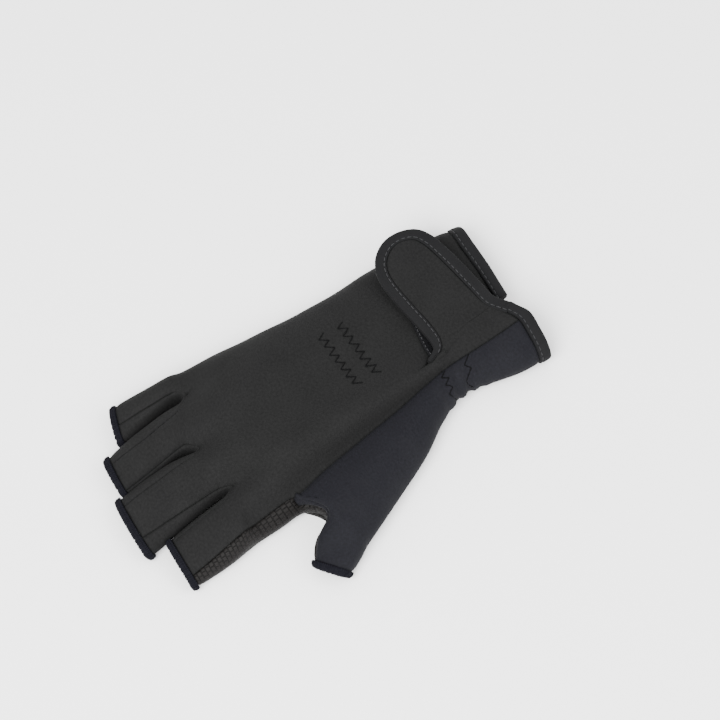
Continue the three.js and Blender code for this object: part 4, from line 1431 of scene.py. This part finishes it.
@dataclass
class Strap:
    """The closing strap: its neoprene face, the tape round it and the fastener patches under it."""

    form: GloveForm
    finishes: Finishes
    face_cells: int = 40
    face_columns: int = 24
    face_length: float = 46.0
    face_sink: float = 0.1
    rim_roll: float = 1.1
    rim_dip: float = 0.7
    crown_rise: float = 0.35
    crown_reach: float = 5.0
    root_reach: float = 14.0
    root_tuck: float = 0.6
    root_cells: int = 12
    droop_start: float = 12.0
    droop: float = 0.0009
    edge_cells: int = 8
    stitched_share: float = 0.79
    stitched_width: float = 3.0
    seam: Seam = Seam(lift=0.02)
    hook_inset: float = 3.0
    hook_start: float = 17.0
    loop_rows: tuple[float, float] = (1.05, 3.42)
    loop_turn: float = 0.16
    loop_turn_row: float = 2.0
    loop_turn_x: float = -8.0
    fibres: int = 2600
    fibre_radius: float = 0.13
    fibre_lean: float = 0.7
    fibre_rise: tuple[float, float] = (0.25, 0.6)
    stub_radius: float = 0.2
    stub: tuple[float, float, float] = (-0.15, 0.0, -0.5)
    seed: int = 21
    patch_seam: Seam = Seam(0.2, 1.5, 0.8, 0.05)

    def build(self) -> None:
        """Builds the strap's pieces."""
        self._outlines()
        self._face()
        self._tape()
        self._hook()
        self._loop()
        LOG.info("strap")

    def height(self, x: Points, y: Points) -> Points:
        """Height of the strap's face at a point: the back's own height at the root, and then the strap's."""
        roots = np.array([self.form.controls_at(row)["slitThumb"] for row in np.linspace(0, 4, 17)])
        root_x = np.interp(y, roots[:, 1], roots[:, 0])
        root_z = np.interp(y, roots[:, 1], roots[:, 2])
        away = 1 - smooth_fall(np.maximum(np.asarray(x) - root_x, 0), self.root_reach)
        drooped = self.droop * np.maximum(np.asarray(x) - self.droop_start, 0) ** 2
        free = SIZE.strap_top + SIZE.strap_tilt * np.asarray(x) - drooped
        return root_z + (free - root_z) * away

    def _outlines(self) -> None:
        """The free edge, the tape's inner edge and the tape's width, finely sampled."""
        edge = [plan_point(x, y) for x, y, _ in STRAP_EDGE]
        widths = [w for _, _, w in STRAP_EDGE]
        free, width = [], []
        for i in range(len(edge) - 1):
            ts = np.linspace(0, 1, self.edge_cells + 1)[:-1]
            free.extend(curve_points(edge, i, ts))
            width.extend(widths[i] + (widths[i + 1] - widths[i]) * ts)
        free.append(edge[-1])
        width.append(widths[-1])
        self.free = np.array(free)
        self.width = np.array(width)
        along = unit(np.gradient(self.free, axis=0))
        self.inward = np.stack([-along[:, 1], along[:, 0], np.zeros(len(along))], axis=1)

    def inset(self, amount: Points | float) -> Points:
        """The free edge moved inwards."""
        return self.free + self.inward * np.atleast_1d(amount)[:, None]

    def _sides(self, inset: Points | float) -> tuple[Points, Points]:
        """The strap's two long edges from root to tip, moved inwards."""
        inner = self.inset(inset)
        tip = int(np.argmax(self.free[:, 0]))
        return inner[: tip + 1], inner[tip:][::-1]

    def _face(self) -> None:
        """The neoprene face inside the tape."""
        lower, upper = self._sides(self.width + 0.05)
        edge_x = self.form.controls_at(self.form.cuff_band)["slitThumb"][0] - self.root_tuck
        roots = [self.form.controls_at(row)["slitThumb"] for row in (1, 1.5, 2, 2.5, 3)]
        n, columns = self.face_cells, self.face_columns
        lower, upper = resampled(lower[lower[:, 0] > edge_x], n), resampled(upper, n)
        tucked = [r - np.array([self.root_tuck, 0, 0]) for r in roots]
        root_line = resampled(np.array([lower[0], *tucked, upper[0]]), columns)
        chord = root_line[0] + (root_line[-1] - root_line[0]) * np.linspace(0, 1, columns + 1)[:, None]
        fade = np.maximum(0.0, 1 - np.arange(n + 1) / self.root_cells) ** 2
        across = crowd(columns, True, True)
        straight = lower[:, None] + (upper - lower)[:, None] * across[None, :, None]
        top = straight + fade[:, None, None] * (root_line - chord)[None]
        low = top.copy()
        rim = np.minimum(across, 1 - across)[None, :] * np.linalg.norm(upper - lower, axis=1)[:, None]
        ends = np.linspace(0, self.face_length, n + 1)[:, None] + self.rim_roll / 2
        gap = np.minimum(rim, ends)
        roll = np.clip(self.rim_roll - gap, 0, self.rim_roll)
        sink = self.rim_dip * (1 - np.sqrt(np.maximum(1 - (roll / self.rim_roll) ** 2, 0)))
        crown = self.crown_rise * (1 - np.exp(-gap / self.crown_reach))
        height = self.height(top[:, :, 0], top[:, :, 1])
        top[:, :, 2] = height - sink + crown - self.face_sink
        low[:, :, 2] = height - SIZE.wall
        made = make_object("wrist_strap_face", *slab(top, low), self.finishes.black)
        stand_for(made, "wrist_strap")

    def _tape(self) -> None:
        """The tape round the free edge and down the slit, with its stitches."""
        rows = []
        for share in np.linspace(1, 0, 25):
            row = self.inset(self.width * share)[::-1]
            row[:, 2] = self.height(row[:, 0], row[:, 1])
            rows.append(row)
        tape = Band(rows, False, SIZE.binding_bulge / 2, piped=-1)
        made = make_object("strap_binding_tape", *tape.mesh(), self.finishes.tape)
        stand_for(made, "strap_binding")
        line = self.inset(self.width * self.stitched_share)[self.width > self.stitched_width]
        line[:, 2] = self.height(line[:, 0], line[:, 1]) + self.seam.lift
        self.seam.sew("strap_stitches", line, self.finishes)

    def _hook(self) -> None:
        """The moulded hook patch under the strap, a thin slab with rows of stubs facing down."""
        lower, upper = self._sides(self.width + self.hook_inset)
        lower = resampled(lower[lower[:, 0] > self.hook_start], 16)
        upper = resampled(upper[upper[:, 0] > self.hook_start], 16)
        grid = lower[:, None] + (upper - lower)[:, None] * np.linspace(0, 1, 11)[None, :, None]
        grid[:, :, 2] = self.height(grid[:, :, 0], grid[:, :, 1]) - SIZE.wall - 0.1
        foot = grid - np.array([0, 0, SIZE.patch_thickness])
        made = make_object("hook_patch_piece", *slab(grid, foot), self.finishes.hook)
        stand_for(made, "hook_patch")
        stubs = Threads("hook_patch_stubs", self.stub_radius, self.finishes.hook)
        for p in foot[1:-1, 1:-1].reshape(-1, 3):
            stubs.add(p, p + np.array(self.stub))
        stubs.build()

    def _loop(self) -> None:
        """The brushed loop patch on the underlap, with its fibres standing up."""
        rows = []
        for row in np.linspace(*self.loop_rows, 37):
            named = self.form.hand_row(float(row))
            line = joined([named["middleTop"], named["ringTop"], named["littleTop"][:3]])
            line = resampled(line, 60)[1:]
            turned = max(0.0, float(row) - self.loop_turn_row) / (self.loop_rows[1] - self.loop_turn_row)
            line[:, 1] -= self.loop_turn * turned * np.clip(line[:, 0] - self.loop_turn_x, 0, 40)
            rows.append(line)
        under = np.array(rows) + np.array([0, 0, SIZE.patch_clearance])
        top = under + np.array([0, 0, SIZE.patch_thickness])
        made = make_object("loop_patch_piece", *slab(top, under), self.finishes.pile)
        stand_for(made, "loop_patch")
        rng = np.random.default_rng(self.seed)
        fibres = Threads("loop_patch_fibres", self.fibre_radius, self.finishes.pile)
        lean = self.fibre_lean
        for _ in range(self.fibres):
            r, c = rng.uniform(0.2, len(rows) - 1.2), rng.uniform(0.2, len(rows[0]) - 1.2)
            base = top[int(r), int(c)] - np.array([0, 0, 0.1])
            base += np.array([rng.uniform(-lean, lean), rng.uniform(-lean, lean), 0])
            fibres.add(base, base + np.array([*rng.uniform(-lean, lean, 2), rng.uniform(*self.fibre_rise)]))
        fibres.build()
        edge = top[-1] + np.array([0, -1.0, self.patch_seam.lift])
        self.patch_seam.sew("loop_patch_stitches", edge, self.finishes)


@dataclass
class ZigzagRows:
    """The zigzag rows that hold the elastic inside the back and the thumb side of the wrist."""

    panels: SkinPanels
    finishes: Finishes
    radius: float = 0.3
    lift: float = 0.2
    unevenness: float = 0.3
    stitches_per_leg: int = 3

    def build(self) -> None:
        """Builds the zigzag rows."""
        zigzag = Threads("back_zigzag_stitches", self.radius, self.finishes.thread)
        for row in BACK_ROWS + THUMB_ROWS:
            self._lay(zigzag, self._teeth(row))
        zigzag.build()
        LOG.info("zigzag rows")

    def _teeth(self, row: ZigzagRow) -> list[tuple[float, float]]:
        """The corners of a zigzag row, a little uneven as sewn over gathered cloth."""
        (x0, y0), (x1, y1) = row.start, row.end
        rng = np.random.default_rng(int(-10 * y0))
        marks = []
        for n in range(2 * row.teeth + 1):
            t = n / (2 * row.teeth)
            side = row.swing * (0.85 + self.unevenness * rng.random()) * (1 if n % 2 else -1)
            x = x0 + (x1 - x0) * t + rng.uniform(-self.unevenness, self.unevenness)
            marks.append((x, y0 + (y1 - y0) * t + side))
        return marks

    def _lay(self, zigzag: Threads, marks: Sequence[tuple[float, float]]) -> None:
        """Lays each leg as short stitches on the sewn surface."""
        for (x0, y0), (x1, y1) in zip(marks, marks[1:]):
            for k in range(self.stitches_per_leg):
                ends = []
                for t in (k / self.stitches_per_leg, (k + 1) / self.stitches_per_leg):
                    x, y = x0 + (x1 - x0) * t, y0 + (y1 - y0) * t
                    ends.append(np.array([x, y, self.panels.height_at(x, y) + self.lift]))
                zigzag.add(*ends)


@dataclass(frozen=True)
class SoftBox:
    """A square soft light that faces the glove: place and side in metres, power in watts."""

    name: str
    place: tuple[float, float, float]
    side: float
    power: float

    def build(self) -> None:
        """Hangs the light."""
        data = bpy.data.lights.new(self.name, "AREA")
        data.size = self.side
        data.energy = self.power
        light = bpy.data.objects.new(self.name, data)
        light.location = self.place
        light.rotation_mode = "QUATERNION"
        light.rotation_quaternion = (-Vector(self.place)).to_track_quat("-Z", "Y")
        bpy.context.scene.collection.objects.link(light)


@dataclass
class Studio:
    """The pale floor, soft lights and the camera at the photograph's angle."""

    azimuth: float = 236.4
    elevation: float = 61.0
    pixels_per_mm: float = 2.15
    image_px: int = 720
    origin_px: tuple[float, float] = (300.0, 425.0)
    lens: float = 350.0
    sensor: float = 36.0
    surroundings: float = 1.9
    floor_reach: float = 6.0
    floor_drop: float = 0.2
    lights: tuple[SoftBox, ...] = (
        SoftBox("key", (-0.5, 0.9, 1.3), 1.0, 66.0),
        SoftBox("fill", (-0.9, -0.6, 0.9), 0.9, 12.0),
    )

    def build(self) -> None:
        """Builds the floor, the lights and the camera."""
        self._floor()
        self._camera()
        self._lights()

    def _floor(self) -> None:
        """A pale plain floor, wide enough to fill the view."""
        mesh = bpy.data.meshes.new("floor")
        r = self.floor_reach
        mesh.from_pydata([(-r, -r, 0), (r, -r, 0), (r, r, 0), (-r, r, 0)], [], [(0, 1, 2, 3)])
        paper = bpy.data.materials.new("pale_matt_paper")
        paper.use_nodes = True
        shader = paper.node_tree.nodes["Principled BSDF"]
        shader.inputs["Base Color"].default_value = srgb("fbfbfb")
        shader.inputs["Roughness"].default_value = 0.9
        mesh.materials.append(paper)
        floor = bpy.data.objects.new("floor", mesh)
        floor.location.z = -self.floor_drop * MM
        bpy.context.scene.collection.objects.link(floor)

    def _camera(self) -> None:
        """A long lens whose frame matches the photograph's."""
        a, e = math.radians(self.azimuth), math.radians(self.elevation)
        back = Vector((math.sin(a) * math.cos(e), -math.cos(a) * math.cos(e), math.sin(e)))
        right = Vector((math.cos(a), math.sin(a), 0))
        up = back.cross(right)
        half = self.image_px / 2
        target = right * ((half - self.origin_px[0]) / self.pixels_per_mm * MM)
        target += up * ((self.origin_px[1] - half) / self.pixels_per_mm * MM)
        width = self.image_px / self.pixels_per_mm * MM
        data = bpy.data.cameras.new("camera")
        data.lens = self.lens
        data.sensor_width = self.sensor
        distance = width * self.lens / self.sensor
        camera = bpy.data.objects.new("camera", data)
        camera.location = target + back * distance
        camera.rotation_mode = "QUATERNION"
        camera.rotation_quaternion = (-back).to_track_quat("-Z", "Y")
        data.clip_start, data.clip_end = 0.1, 100
        bpy.context.scene.collection.objects.link(camera)
        bpy.context.scene.camera = camera

    def _lights(self) -> None:
        """A broad key from above, a fill and pale surroundings."""
        world = bpy.data.worlds.new("studio")
        world.use_nodes = True
        background = world.node_tree.nodes["Background"]
        background.inputs["Color"].default_value = (1, 1, 1, 1)
        background.inputs["Strength"].default_value = self.surroundings
        bpy.context.scene.world = world
        for light in self.lights:
            light.build()


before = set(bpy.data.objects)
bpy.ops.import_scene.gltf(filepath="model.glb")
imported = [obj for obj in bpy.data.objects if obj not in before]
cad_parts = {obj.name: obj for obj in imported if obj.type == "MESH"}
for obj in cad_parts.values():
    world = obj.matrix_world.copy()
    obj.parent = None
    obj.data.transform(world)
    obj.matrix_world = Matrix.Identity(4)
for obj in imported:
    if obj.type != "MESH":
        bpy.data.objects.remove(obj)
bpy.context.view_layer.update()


def main() -> None:
    """Builds the glove piece by piece."""
    logging.basicConfig(level=logging.INFO, format="%(message)s")
    Studio().build()
    form = GloveForm()
    finishes = Finishes()
    panels = SkinPanels(form, finishes)
    panels.build()
    Hems(form, finishes).build()
    CuffBinding(form, finishes).build()
    Strap(form, finishes).build()
    ZigzagRows(panels, finishes).build()


if __name__ == "__main__":
    main()
